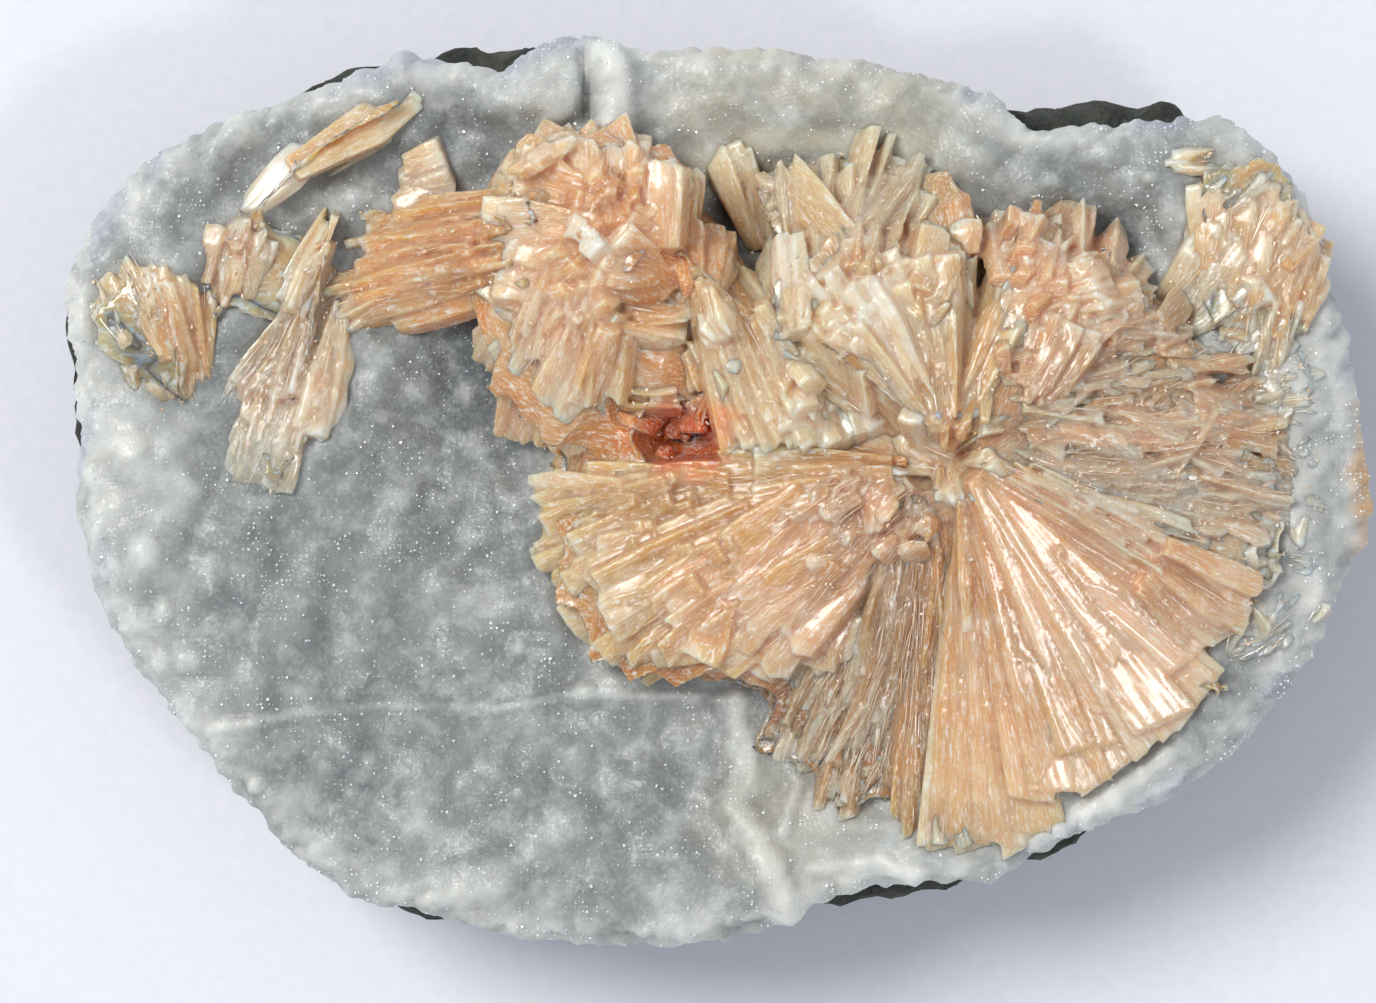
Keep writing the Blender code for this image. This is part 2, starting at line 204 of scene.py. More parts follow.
def points_of(piece):
    return vectors_of(piece.data.vertices, "co")


def normals_of(piece):
    return vectors_of(piece.data.vertices, "normal")


def move_points(piece, points):
    piece.data.vertices.foreach_set("co", np.ascontiguousarray(points, dtype=np.float32).ravel())
    piece.data.update()


def paint(piece, name, values):
    """Stores one value, vector or colour for each point of a piece."""
    values = np.asarray(values, dtype=np.float32)
    kind, field = "FLOAT", "value"
    if values.ndim == 2:
        kind, field = ("FLOAT_VECTOR", "vector") if values.shape[1] == 3 else ("FLOAT_COLOR", "color")
    layer = piece.data.attributes.new(name, kind, "POINT")
    layer.data.foreach_set(field, values.ravel())


def relief(piece, iterations):
    """How far each point stands out of the surface round it, as a smoothing shows it."""
    points, normals = points_of(piece), normals_of(piece)
    eased = placed("eased", piece.data.copy())
    modify(eased, "SMOOTH", factor=0.8, iterations=iterations)
    flat = points_of(eased)
    bpy.data.objects.remove(eased)
    return np.einsum("ij,ij->i", points - flat, normals)


def blend_values(low, high, share):
    return low + (high - low) * share


def blend_colours(first, second, shares):
    """Colours between two, by a share for each point."""
    return blend_values(np.asarray(first), np.asarray(second), shares[:, None])


def smooth_share(low, high, values):
    """How far values are from low to high, as an eased share from 0 to 1."""
    share = np.clip((values - low) / (high - low), 0, 1)
    return share * share * (3 - 2 * share)


def lattice(column, row, seed):
    """A fixed pseudo-random value from 0 to 1 for each cell of a grid."""
    number = column.astype(np.int64) * 374761393 + row.astype(np.int64) * 668265263 + seed * 69069
    number = (number ^ (number >> 13)) * 1274126177 & 0xFFFFFFFF
    return ((number ^ (number >> 16)) & 0xFFFF) / 65535.0


def ripples(across, along, seed):
    """Smooth noise over two coordinates, from -1 to 1."""
    column, row = np.floor(across), np.floor(along)
    u, v = across - column, along - row
    u, v = u * u * (3 - 2 * u), v * v * (3 - 2 * v)
    near = blend_values(lattice(column, row, seed), lattice(column + 1, row, seed), u)
    far = blend_values(lattice(column, row + 1, seed), lattice(column + 1, row + 1, seed), u)
    return blend_values(near, far, v) * 2 - 1


def cloudy(points, size, seed):
    """Smooth noise over the places of points, from about -1 to 1, with features of this size."""
    x, y, z = points[:, 0] / size, points[:, 1] / size, points[:, 2] / size
    return (ripples(x + 0.37 * z, y + 0.53 * z, seed) + ripples(x * 2.1 + z, y * 2.1, seed + 7) * 0.5) / 1.5


def finish_piece(piece, material, *nodes, slot=None):
    """Brings a piece to its true size, gives it its material and lets it stand for its solids."""
    piece.data.transform(Matrix.Scale(MM, 4))
    piece.data.materials.clear()
    piece.data.materials.append(material)
    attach(piece, "root")
    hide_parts(*nodes)


# The slab's outline, read off the crust's solid as its reach at each bearing

def reach_table(node):
    points = np.array([v.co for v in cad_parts[node].data.vertices]) / MM
    bearings = np.degrees(np.arctan2(points[:, 1], points[:, 0])) % 360
    reaches = np.hypot(points[:, 0], points[:, 1])
    steps = np.arange(0, 360, 4.5)
    table = [reaches[np.abs((bearings - s + 180) % 360 - 180) < 3.2].max() for s in steps]
    return np.append(steps, 360), np.append(table, table[0])


REACH_STEPS, REACH_TABLE = reach_table("chalcedony_crust")


def edge_share(points):
    """How far out each point is, as a share of the outline's reach at its bearing."""
    bearings = np.degrees(np.arctan2(points[:, 1], points[:, 0])) % 360
    return np.hypot(points[:, 0], points[:, 1]) / np.interp(bearings, REACH_STEPS, REACH_TABLE)


# Materials

class Finish:
    """A material with its shader, and short ways to add nodes to it."""

    def __init__(self, name):
        self.material = bpy.data.materials.new(name)
        self.material.use_nodes = True
        self.tree = self.material.node_tree
        self.shader = self.tree.nodes["Principled BSDF"]

    def fill(self, socket, value):
        """Links a socket to another or gives it a value."""
        if isinstance(value, bpy.types.NodeSocket):
            self.tree.links.new(value, socket)
        elif isinstance(value, tuple) and len(value) < len(socket.default_value):
            socket.default_value = (*value, 1)
        else:
            socket.default_value = value

    def add(self, kind, inputs=None, **settings):
        node = self.tree.nodes.new(kind)
        for key, value in settings.items():
            setattr(node, key, value)
        for key, value in (inputs or {}).items():
            self.fill(node.inputs[key], value)
        return node

    def shade(self, inputs):
        for key, value in inputs.items():
            self.fill(self.shader.inputs[key], value)

    def attribute(self, name, output):
        return self.add("ShaderNodeAttribute", attribute_name=name).outputs[output]

    def place(self):
        return self.add("ShaderNodeTexCoord").outputs["Object"]

    def stretched(self, vector, scale):
        return self.add("ShaderNodeMapping", {"Vector": vector, "Scale": scale}).outputs[0]

    def noise(self, vector, scale, detail, roughness=0.5):
        inputs = {"Vector": vector, "Scale": scale, "Detail": detail, "Roughness": roughness}
        return self.add("ShaderNodeTexNoise", inputs).outputs["Fac"]

    def cells(self, vector, scale):
        return self.add("ShaderNodeTexVoronoi", {"Vector": vector, "Scale": scale}, feature="F1").outputs

    def ramp(self, source, *stops):
        """A colour ramp over a value. Each stop is a place and a colour or a grey."""
        node = self.add("ShaderNodeValToRGB", {"Fac": source})
        elements = node.color_ramp.elements
        while len(elements) < len(stops):
            elements.new(0.5)
        for element, (place, colour) in zip(elements, stops):
            element.position = place
            element.color = (*colour, 1) if isinstance(colour, tuple) else (colour, colour, colour, 1)
        return node.outputs["Color"]

    def mixed(self, share, first, second, mode="MIX"):
        """Two colours mixed by a share."""
        node = self.add("ShaderNodeMix", data_type="RGBA", blend_type=mode, clamp_result=False)
        for index, value in ((0, share), (6, first), (7, second)):
            self.fill(node.inputs[index], value)
        return node.outputs[2]

    def bumps(self, *layers):
        """Bumps laid over each other. Each has its heights, its strength and its depth in metres."""
        below = None
        for height, strength, distance in layers:
            inputs = {"Height": height, "Strength": strength, "Distance": distance}
            if below is not None:
                inputs["Normal"] = below
            below = self.add("ShaderNodeBump", inputs).outputs[0]
        self.shade({"Normal": below})


def stilbite_finish():
    """Pearly stilbite: finely fibred along each crystal, with pale streaks and flecks that are partly cleavage
    cracks and partly painted glints.
    """
    finish = Finish("pearly_stilbite")
    ramp, mixed, noise, stretched = finish.ramp, finish.mixed, finish.noise, finish.stretched
    tint, grain = finish.attribute("tint", "Color"), finish.attribute("grain", "Vector")
    fibres = noise(stretched(grain, (0.22, 3.2, 3.2)), 1.0, 4.0, 0.6)
    threads = noise(stretched(grain, (0.6, 9.0, 9.0)), 1.0, 3.0, 0.55)
    flakes = noise(stretched(grain, (0.8, 3.6, 3.6)), 1.0, 3.0, 0.75)
    clouds = noise(finish.place(), 380.0, 4.0, 0.6)
    warmed = mixed(ramp(clouds, (0.38, 0.6), (0.62, 0.0)), tint, linear(246, 220, 190), "MULTIPLY")
    shaded = mixed(ramp(fibres, (0.3, 0.22), (0.5, 0.0)), warmed, linear(240, 218, 192), "MULTIPLY")
    # Pale streaks and flecks in the base colour: partly cracks, partly painted glints.
    streaked_and_glinting = mixed(ramp(threads, (0.50, 0.0), (0.70, 0.55)), shaded, linear(250, 240, 224))
    flecked_and_glinting = mixed(ramp(flakes, (0.55, 0.0), (0.68, 0.75)), streaked_and_glinting, linear(253, 247, 238))
    finish.shade(
        {
            "Base Color": flecked_and_glinting,
            "Roughness": ramp(clouds, (0.4, 0.12), (0.6, 0.34)),
            "Subsurface Weight": 0.9,
            "Subsurface Radius": (1.0, 0.62, 0.34),
            "Subsurface Scale": 0.0028,
            "Specular IOR Level": 0.65,
            "Coat Weight": 0.7,
            "Coat Roughness": 0.16,
        }
    )
    finish.bumps((fibres, 0.6, 0.00018), (threads, 0.5, 0.00008), (flakes, 0.5, 0.00012))
    return finish.material


def fibre_finish():
    """Loose fibres and flakes of stilbite, glassy enough to glint."""
    finish = Finish("glinting_stilbite")
    varied = finish.noise(finish.place(), 700.0, 2.0)
    shades = finish.ramp(varied, (0.35, 0.5), (0.6, 0.0))
    shaded = finish.mixed(shades, finish.attribute("tint", "Color"), linear(240, 214, 184), "MULTIPLY")
    roughness = finish.ramp(varied, (0.35, 0.12), (0.65, 0.35))
    finish.shade({"Base Color": shaded, "Roughness": roughness, "Specular IOR Level": 0.8})
    return finish.material


def chalcedony_finish():
    """Translucent blue-grey chalcedony under a skin of tiny sparkling crystals."""
    finish = Finish("sugary_chalcedony")
    place, ramp, mixed = finish.place(), finish.ramp, finish.mixed
    clouds = finish.noise(place, 260.0, 4.0, 0.6)
    spots = finish.noise(place, 420.0, 5.0, 0.62)
    grains = finish.noise(place, 2600.0, 2.0, 0.6)
    sugar = finish.cells(place, 3600.0)
    tint = finish.attribute("tint", "Color")
    clouded = mixed(ramp(clouds, (0.35, 0.25), (0.7, 0.0)), tint, linear(128, 138, 142))
    spotted = mixed(ramp(spots, (0.48, 0.0), (0.72, 0.42)), clouded, linear(226, 230, 226))
    sugared = mixed(ramp(grains, (0.52, 0.0), (0.75, 0.2)), spotted, linear(232, 238, 238))
    finish.shade(
        {
            "Base Color": sugared,
            "Roughness": ramp(sugar["Color"], (0.1, 0.3), (0.9, 0.6)),
            "Subsurface Weight": 0.55,
            "Subsurface Radius": (0.75, 0.95, 1.0),
            "Subsurface Scale": 0.0016,
            "Specular IOR Level": 0.6,
        }
    )
    finish.bumps((sugar["Distance"], 0.3, 0.0001), (grains, 0.25, 0.0001))
    return finish.material


def sparkle_finish():
    """The tiny clear crystals that glitter on the chalcedony, coloured near white as a painted glint."""
    finish = Finish("sparkling_druse")
    varied = finish.noise(finish.place(), 900.0, 1.0)
    # Near white: a painted glint.
    colour = finish.ramp(varied, (0.3, linear(232, 240, 246)), (0.7, linear(255, 255, 255)))
    roughness = finish.ramp(varied, (0.3, 0.05), (0.7, 0.18))
    finish.shade({"Base Color": colour, "Roughness": roughness, "Specular IOR Level": 0.8})
    return finish.material


def basalt_finish():
    """Very dark green-grey broken basalt with rusty and pale grains."""
    finish = Finish("broken_basalt")
    place = finish.place()
    coarse, fine = finish.noise(place, 260.0, 6.0, 0.65), finish.noise(place, 1900.0, 4.0, 0.7)
    shades = ((0.3, (38, 41, 37)), (0.5, (56, 60, 53)), (0.66, (78, 80, 70)), (0.8, (96, 88, 70)))
    stone = finish.ramp(coarse, *((stop, linear(*shade)) for stop, shade in shades))
    speckled = finish.mixed(finish.ramp(fine, (0.6, 0.0), (0.74, 0.5)), stone, linear(120, 122, 112))
    finish.shade({"Base Color": speckled, "Roughness": finish.ramp(fine, (0.2, 0.75), (0.8, 0.98))})
    finish.bumps((finish.cells(place, 1500.0)["Distance"], 0.6, 0.0003), (fine, 0.7, 0.0003))
    return finish.material


def paper_finish():
    """White paper with a faint grain."""
    finish = Finish("white_paper")
    fibre = finish.noise(finish.place(), 900.0, 4.0)
    colour = finish.ramp(fibre, (0.3, linear(233, 234, 242)), (0.7, linear(238, 238, 245)))
    finish.shade({"Base Color": colour, "Roughness": 0.9})
    finish.bumps((fibre, 0.15, 0.0001))
    return finish.material


# Stilbite crystals

# Colours at a crystal's root and at its tip.
PALETTE = {
    "peach": ((220, 162, 104), (230, 196, 154)),
    "deep": ((216, 148, 84), (226, 178, 126)),
    "orange": ((226, 160, 84), (234, 190, 126)),
    "gold": ((206, 144, 72), (216, 176, 112)),
    "straw": ((198, 152, 88), (216, 184, 126)),
    "cream": ((216, 182, 132), (236, 218, 180)),
    "pale": ((226, 192, 148), (238, 220, 194)),
    "pink": ((220, 172, 132), (228, 196, 166)),
    "pinkbrown": ((192, 144, 108), (208, 176, 148)),
    "brown": ((176, 126, 72), (186, 154, 108)),
    "umber": ((158, 108, 56), (172, 142, 98)),
    "grey": ((198, 180, 148), (196, 192, 176)),
    "greyer": ((194, 184, 160), (196, 197, 187)),
    "greycream": ((206, 186, 152), (216, 208, 184)),
    "white": ((238, 226, 204), (246, 240, 230)),
}

# Each sheaf of crystals, in plan: where the middle of its roots and the middle of its tips are, its width at
# both, how far its crystals stand above the ground at both, how many it has, how narrow and broad they are, by
# how many degrees they roll and stray, their least and greatest lengths as shares of the sheaf's, their kind
# and their colours.
Sheaf = namedtuple(
    "Sheaf",
    "root_x root_y tip_x tip_y root_width tip_width root_lift tip_lift count narrow broad roll stray "
    "short long kind colours",
)

SHEAVES = {
    "slab": {
        "south": (19, 1.3, 21.6, -29.9, 1, 9, 0.5, 0.5, 9, 3, 5, 2, 0.8, 0.9, 1, "wedges", "peach pale gold"),
        "south_east": (19.4, 1.3, 28.8, -25, 1, 9.5, 0.55, 0.6, 9, 3.5, 6, 2, 0.8, 0.9, 1,
            "wedges", "peach gold peach"),
        "glare": (19.8, 1.4, 36, -20, 1, 10, 0.6, 0.75, 9, 4, 7, 2, 0.8, 0.9, 1, "wedges", "peach pale peach"),
        "east": (20.1, 1.8, 41, -11, 1, 9.5, 0.55, 0.65, 9, 3.5, 6, 2, 0.8, 0.9, 1,
            "wedges", "peach pink peach"),
        "lines_south": (19.6, 0, 23.6, -28.8, 2.5, 12, 0.5, 0.5, 22, 0.6, 2, 4, 1.5, 0.15, 0.5,
            "laths", "peach pale gold"),
        "lines_middle": (20.4, 0, 33.2, -22.4, 2.5, 13, 0.5, 0.6, 24, 0.6, 2.4, 4, 1.5, 0.15, 0.5,
            "laths", "peach pale pink"),
        "lines_east": (20.8, 0.8, 40.8, -12, 2.5, 12, 0.5, 0.55, 26, 0.6, 2, 5, 2, 0.15, 0.5,
            "laths", "pale peach pink"),
        "notch": (26.8, -16.8, 30, -23.4, 3, 4.4, 0.7, 0.5, 12, 0.8, 1.8, 4, 2, 0.3, 0.8,
            "laths", "grey greyer"),
        "laths": (22.8, 1.8, 38, -5.6, 2, 5, 1.2, 1.1, 26, 0.4, 0.9, 12, 2.5, 0.25, 0.6,
            "laths", "pale peach white"),
        "step": (33.6, -5.6, 41.8, -11, 4.5, 7, 1.3, 1.1, 14, 1.6, 3.2, 4, 1.6, 0.6, 1,
            "plates", "pale pink peach"),
    },
    "east": {
        "low": (21.6, 2.4, 46, -5.6, 3, 10, 0.3, 0.2, 90, 0.5, 1.4, 16, 12, 0.1, 0.32,
            "mixed", "grey pink greyer grey"),
        "middle": (22.8, 4, 46.8, 0.8, 4, 10, 0.4, 0.2, 90, 0.5, 1.6, 18, 16, 0.1, 0.32,
            "mixed", "pink grey greyer brown"),
        "high": (22.8, 5.2, 45.2, 8, 4, 10, 0.5, 0.3, 90, 0.5, 1.6, 20, 18, 0.1, 0.32,
            "mixed", "pink brown peach grey"),
        "fade_low": (38.8, -12.8, 46, -6.4, 5, 7, 0, 0, 40, 0.8, 2.2, 8, 26, 0.15, 0.4,
            "plates", "greyer grey white"),
        "fade_middle": (40.8, -0.8, 48.2, -1.6, 9, 11, 0, 0, 54, 0.8, 2.4, 8, 26, 0.12, 0.36,
            "plates", "greyer greyer white"),
        "fade_high": (39.2, 7.2, 47.2, 6.8, 8, 9, 0, 0, 50, 0.8, 2.4, 8, 26, 0.12, 0.36,
            "plates", "greyer greycream greyer"),
    },
    "north_side": {
        "block": (24.4, 6.4, 27.9, 13.2, 2.5, 4.6, 1, 1.7, 13, 1.2, 2.6, 8, 4, 0.6, 1,
            "laths", "gold peach pink"),
        "north_east": (22.8, 6.8, 38, 14, 4, 9, 0.5, 0.5, 80, 0.6, 1.8, 20, 18, 0.1, 0.32,
            "mixed", "pink peach grey pinkbrown"),
        "north_high": (21.6, 8.4, 32.8, 20.4, 4, 9.5, 0.6, 0.4, 70, 0.9, 2.6, 18, 18, 0.15, 0.4,
            "plates", "pink peach pale"),
        "north_blocks": (20, 9.2, 24.4, 22.8, 4, 9.5, 0.6, 0.7, 60, 1.2, 3, 18, 16, 0.15, 0.4,
            "plates", "pink peach pale"),
        "shell_fan": (20.6, 13.9, 29.4, 17.4, 1, 7, 1.5, 1.7, 26, 0.5, 1, 5, 1.5, 0.8, 1,
            "wedges", "peach pale"),
        "centre_north": (17.8, 2.2, 16.8, 5.6, 2.6, 3.4, 0.6, 1, 14, 0.6, 1.4, 30, 14, 0.6, 1,
            "mixed", "white pale"),
        "centre_west": (18.4, 1.6, 14.4, 2.8, 2.6, 3.4, 0.6, 0.8, 12, 0.6, 1.4, 30, 14, 0.6, 1,
            "mixed", "white pale peach"),
        "centre_east": (17.6, 2.8, 20.8, 4, 2.6, 3.4, 0.6, 0.8, 12, 0.6, 1.4, 30, 14, 0.6, 1,
            "mixed", "pale peach"),
        "centre_south": (18, 2.8, 18.4, -0.8, 2.6, 3, 0.6, 0.6, 12, 0.6, 1.4, 20, 10, 0.6, 1,
            "mixed", "pale peach"),
    },
    "laths": {
        "north": (17.6, 4, 15.2, 18.2, 1.6, 5, 0.4, 0.9, 26, 1, 2.2, 10, 2, 0.6, 1,
            "laths", "cream cream gold"),
        "north_east": (18.2, 4, 20.8, 14.2, 1.6, 5, 0.2, 0.6, 20, 0.8, 1.8, 10, 3, 0.6, 1,
            "laths", "cream orange gold"),
        "north_west": (16.8, 4, 10, 17.8, 1.6, 7, 0.5, 0.9, 30, 1.1, 2.8, 10, 2, 0.6, 1,
            "laths", "cream cream white"),
        "mirror": (11, 8.6, 12.6, 4.8, 1.6, 2.2, 0.3, 1.9, 4, 1.8, 2.6, 9, 4, 0.8, 1, "plates", "white pale"),
        "west": (16, 3.6, 6.8, 12.8, 1.6, 6, 0.4, 0.8, 26, 1, 2.4, 12, 3, 0.6, 1, "laths", "cream gold cream"),
        "north_east_far": (18.5, 4.2, 23.8, 18.2, 1.6, 5, 0.3, 0.7, 16, 1, 2.4, 10, 4, 0.6, 1,
            "laths", "cream gold greycream"),
        "v_fill": (18.2, 4.2, 19.4, 19.2, 1.6, 4, 0.3, 0.6, 12, 1, 2.2, 10, 3, 0.6, 1,
            "laths", "cream cream orange"),
        "gap_fill": (18.8, 4.8, 21.6, 19, 1.2, 3.4, 0.2, 0.4, 12, 1.2, 2.6, 10, 5, 0.5, 1,
            "laths", "gold cream"),
        "distinct_blade": (11.9, 17, 4.4, 25.6, 1, 1.2, 1.8, 2.4, 2, 2.1, 2.5, 4, 0.5, 0.97, 1,
            "laths", "cream"),
        "left_lath": (4, 18.2, 0.6, 27.2, 1.5, 2, 0.8, 1.2, 5, 1.2, 2, 12, 2, 0.6, 1,
            "laths", "greycream cream"),
        "north_block": (5.6, 12.4, 5, 20.3, 3.2, 3.8, 1.4, 1.8, 9, 0.9, 1.8, 6, 1, 0.8, 1,
            "laths", "cream white"),
        "upper": (10.4, 19.2, 15.2, 28, 4, 6, 0.4, 0.6, 14, 0.9, 2, 16, 6, 0.6, 1,
            "laths", "greycream cream grey"),
        "upper_blocks": (12.4, 19.6, 13.2, 25.2, 6, 9, 0.5, 0.8, 14, 1.6, 3.2, 22, 12, 0.4, 0.9,
            "plates", "greycream grey cream"),
        "upper_fill": (13.2, 15.2, 14, 22, 9, 11, 0.4, 0.5, 26, 1.4, 3, 16, 10, 0.3, 0.8,
            "plates", "cream peach greycream"),
        "upper_west": (6.8, 18.6, 6.8, 26.6, 5, 6.5, 0.2, 0.4, 12, 1, 2, 18, 6, 0.3, 0.8,
            "laths", "greycream grey"),
    },
    "pit": {
        "pit_red": (0.1, 6.6, -1.2, 3.5, 5, 4, 1.5, 2.6, 9, 0.8, 1.8, 26, 24, 0.3, 0.7, "plates", "pink deep"),
        "pit_low": (-4.1, 4.3, -2, 3.5, 3, 3, 1, 1, 6, 0.8, 1.6, 26, 24, 0.3, 0.7, "plates", "deep"),
        "pit_crystal": (-1.7, 7.4, -2.2, 4.5, 1.2, 1.6, 0.4, 1.6, 3, 1.2, 2, 10, 6, 0.6, 1, "plates", "pink"),
        "pit_west": (-6, 5.6, -3.8, 5, 1, 1.4, 0.6, 1.2, 3, 0.8, 1.4, 10, 10, 0.6, 1, "plates", "deep"),
    },
    "seam": {
        "west": (-1.2, 16.4, 3.2, 2.6, 2, 5, 0.7, 0.8, 22, 0.9, 1.8, 10, 1.6, 0.6, 1,
            "laths", "cream gold cream"),
        "middle": (-0.2, 16.8, 6, 2.6, 2, 5, 0.9, 0.9, 20, 1.2, 2.2, 10, 1.6, 0.6, 1,
            "laths", "cream cream gold"),
        "east": (1.6, 17.6, 9, 2.6, 2, 5, 0.9, 0.9, 20, 1.2, 2.4, 10, 1.6, 0.6, 1,
            "laths", "cream white cream"),
        "blades": (-1.2, 16, 0.7, 11.2, 2.5, 3, 1.7, 1.9, 4, 1.4, 2, 12, 4, 0.6, 1, "shards", "white cream"),
    },
    "upper_mass": {
        "crown_face": (-8.8, 21.4, -16.2, 25.6, 4, 8, 0.7, 0.9, 4, 5.5, 8, 4, 4, 0.8, 1,
            "plates", "peach gold"),
        "crown_west": (-9.2, 20, -18.6, 21.4, 4, 5, 0.6, 0.6, 5, 3.4, 5, 6, 4, 0.6, 1, "plates", "peach pale"),
        "crown_north": (-8.2, 20.6, -11, 29, 4, 6, 0.7, 0.7, 6, 3.4, 5.6, 7, 4, 0.7, 1, "plates", "peach deep"),
        "crown_north_tips": (-8.2, 23.2, -8.2, 28.6, 4, 5, 0.9, 0.7, 6, 1.4, 2.6, 10, 5, 0.5, 1,
            "shards", "pale peach"),
        "crown_north_east": (-7, 20.4, -4.8, 26, 3, 4, 0.7, 0.6, 5, 2.6, 4.4, 8, 4, 0.7, 1,
            "plates", "peach pale"),
        "crown_ridge": (-18.8, 21.4, -9.2, 28.8, 1, 1, 1.5, 1.2, 7, 1, 1.8, 10, 4, 0.25, 0.6,
            "laths", "cream pale"),
        "block": (-3, 18.6, -3.3, 26.1, 2.6, 3.6, 1.2, 1.5, 6, 1.6, 3, 6, 2, 0.8, 1, "shards", "peach pale"),
        "east_fill": (-1.2, 16, -2, 22, 4, 5, 0.4, 0.4, 6, 2.4, 4, 8, 5, 0.5, 1, "plates", "peach deep"),
        "crown_east": (-1.2, 14.4, 0.6, 20.2, 2, 2.4, 0.8, 0.8, 5, 1.6, 2.8, 10, 4, 0.6, 1,
            "shards", "pale peach"),
        "middle_face": (-2, 15.8, -8.4, 18.8, 4, 6, 0.9, 1.1, 5, 4, 6.4, 6, 8, 0.7, 1, "plates", "deep peach"),
        "middle_plates": (-12.4, 15.2, -17.2, 18.2, 5, 6, 0.8, 0.8, 7, 2.8, 5, 9, 12, 0.6, 1,
            "plates", "peach pale"),
        "glassy": (-10.6, 18.2, -9, 20, 1.6, 1.8, 1.7, 1.8, 3, 1.4, 2.2, 20, 18, 0.6, 1, "plates", "white"),
        "south_west_high": (-10, 16.4, -19.6, 12.4, 4, 5, 0.6, 0.5, 7, 2.6, 4.4, 9, 5, 0.6, 1,
            "shards", "pale peach pale"),
        "south_west": (-9.6, 15.6, -18.6, 7.8, 4, 7, 0.7, 0.6, 9, 2.4, 4.6, 9, 4, 0.6, 1,
            "shards", "pale peach pale"),
        "south": (-9.2, 15.2, -14.6, 1.9, 4, 5.5, 0.7, 0.6, 9, 2.4, 4.4, 9, 4, 0.6, 1,
            "shards", "pale gold pink"),
        "south_lines": (-11, 16.8, -13.4, 8.8, 5, 6.5, 1.1, 1, 18, 0.6, 1.4, 9, 3, 0.3, 0.8,
            "shards", "pink pale peach"),
        "bowl_west": (-8.2, 12.4, -9.8, 5.6, 1.6, 2.6, 0.9, 0.6, 8, 0.8, 1.8, 16, 6, 0.6, 1,
            "laths", "cream gold"),
        "bowl_north": (-7.2, 13.2, -1.6, 12.4, 2, 3, 1.1, 1.1, 9, 0.8, 1.6, 16, 8, 0.6, 1,
            "laths", "gold peach cream"),
        "bowl_south": (-8, 7, -2, 7, 1.4, 1.6, 0.9, 0.9, 7, 0.5, 1.1, 16, 6, 0.6, 1, "laths", "cream peach"),
        "bowl_east": (-2, 11.6, 1.6, 7.6, 3, 4, 0.9, 0.8, 14, 0.9, 2.2, 14, 8, 0.3, 0.8,
            "plates", "pale peach cream"),
    },
    "arm": {
        "high": (-15.6, 21.4, -28.2, 20.3, 3.6, 3, 0.6, 0.4, 26, 0.6, 1.5, 9, 2, 0.3, 0.8,
            "laths", "orange peach orange"),
        "middle": (-16.8, 19.6, -29.6, 17.4, 4.5, 4.5, 0.8, 0.6, 30, 0.6, 1.6, 9, 2, 0.3, 0.8,
            "laths", "orange peach deep"),
        "low": (-15.2, 17, -29.8, 14.4, 4.5, 4, 0.7, 0.5, 36, 0.6, 1.5, 9, 2, 0.3, 0.8,
            "laths", "orange deep orange"),
        "nub": (-25.8, 22.9, -20.6, 25.1, 2.4, 3.2, 0.9, 1.3, 12, 1.8, 3.2, 18, 14, 0.5, 0.9,
            "plates", "pale pink greyer"),
        "ends": (-25.2, 16.4, -31, 14, 4, 5, 0.6, 0.6, 14, 0.5, 1.1, 12, 4, 0.6, 1, "laths", "orange cream"),
    },
    "west": {
        "middle_west": (14.8, 1.6, -11.2, 1.8, 3, 5, 0.4, 0.4, 24, 1.4, 3.6, 6, 2, 0.3, 0.6,
            "laths", "gold straw gold"),
        "middle_low": (14, 0.8, -9.2, -2.8, 3, 5, 0.4, 0.4, 24, 1.4, 3.6, 6, 2.5, 0.3, 0.6,
            "laths", "gold straw peach"),
        "block_blade": (-8.2, 0.1, -15.3, 0.2, 0.4, 0.6, 2, 1.6, 1, 2.4, 2.5, 2, 0.5, 0.97, 1, "laths", "pale"),
        "blunt": (-1.2, -0.8, -15.2, -5.6, 5, 7, 0.6, 0.7, 26, 1.2, 3, 8, 2.5, 0.3, 0.8,
            "laths", "straw straw cream"),
        "south_west_laths": (6, -0.8, -12.4, -10.8, 5, 8, 0.6, 0.8, 26, 1.4, 4, 8, 4, 0.3, 0.7,
            "plates", "straw gold cream"),
        "south_west_blunt": (9.2, -1.6, -8, -14, 5, 8.5, 0.6, 0.8, 26, 1.4, 4.2, 9, 5, 0.3, 0.7,
            "shards", "straw peach gold"),
        "south_laths": (11.6, -1.6, -1.2, -15, 4, 8, 0.7, 0.9, 26, 1.6, 4.4, 10, 6, 0.3, 0.7,
            "plates", "peach gold pink"),
        "south_south_west": (14, -1.2, 4.4, -16.2, 3, 7.5, 0.5, 0.7, 26, 1.6, 4, 12, 6, 0.3, 0.7,
            "shards", "peach pink brown"),
        "west_blocks": (-2, -4.4, -11.6, -8.8, 7, 9, 1, 1.5, 8, 1.8, 3.2, 14, 9, 0.35, 0.7,
            "plates", "cream straw pale"),
        "south_west_blocks": (4.4, -5.6, -4.8, -13.6, 8, 9, 1, 1.6, 9, 1.8, 3.4, 14, 9, 0.35, 0.7,
            "plates", "pale gold peach"),
        "south_blocks": (10.8, -6.4, 3.6, -15.2, 5, 7, 0.9, 1.5, 8, 1.6, 3, 14, 9, 0.35, 0.7,
            "shards", "pink pale peach"),
        "rough_middle": (13.2, 0.8, 4.8, -5.6, 5, 7, 0.8, 0.5, 50, 0.4, 1.2, 30, 26, 0.12, 0.35,
            "mixed", "pinkbrown brown pale"),
        "rough_centre": (15.2, 0, 11.2, -5.6, 4, 5, 0.8, 0.6, 34, 0.4, 1.2, 28, 24, 0.15, 0.4,
            "mixed", "pinkbrown peach"),
    },
    "under": {
        "west": (15.2, 0, 6.4, -22.8, 3, 9, 0.2, 0.2, 40, 0.8, 2.2, 10, 5, 0.25, 0.6,
            "mixed", "brown umber grey"),
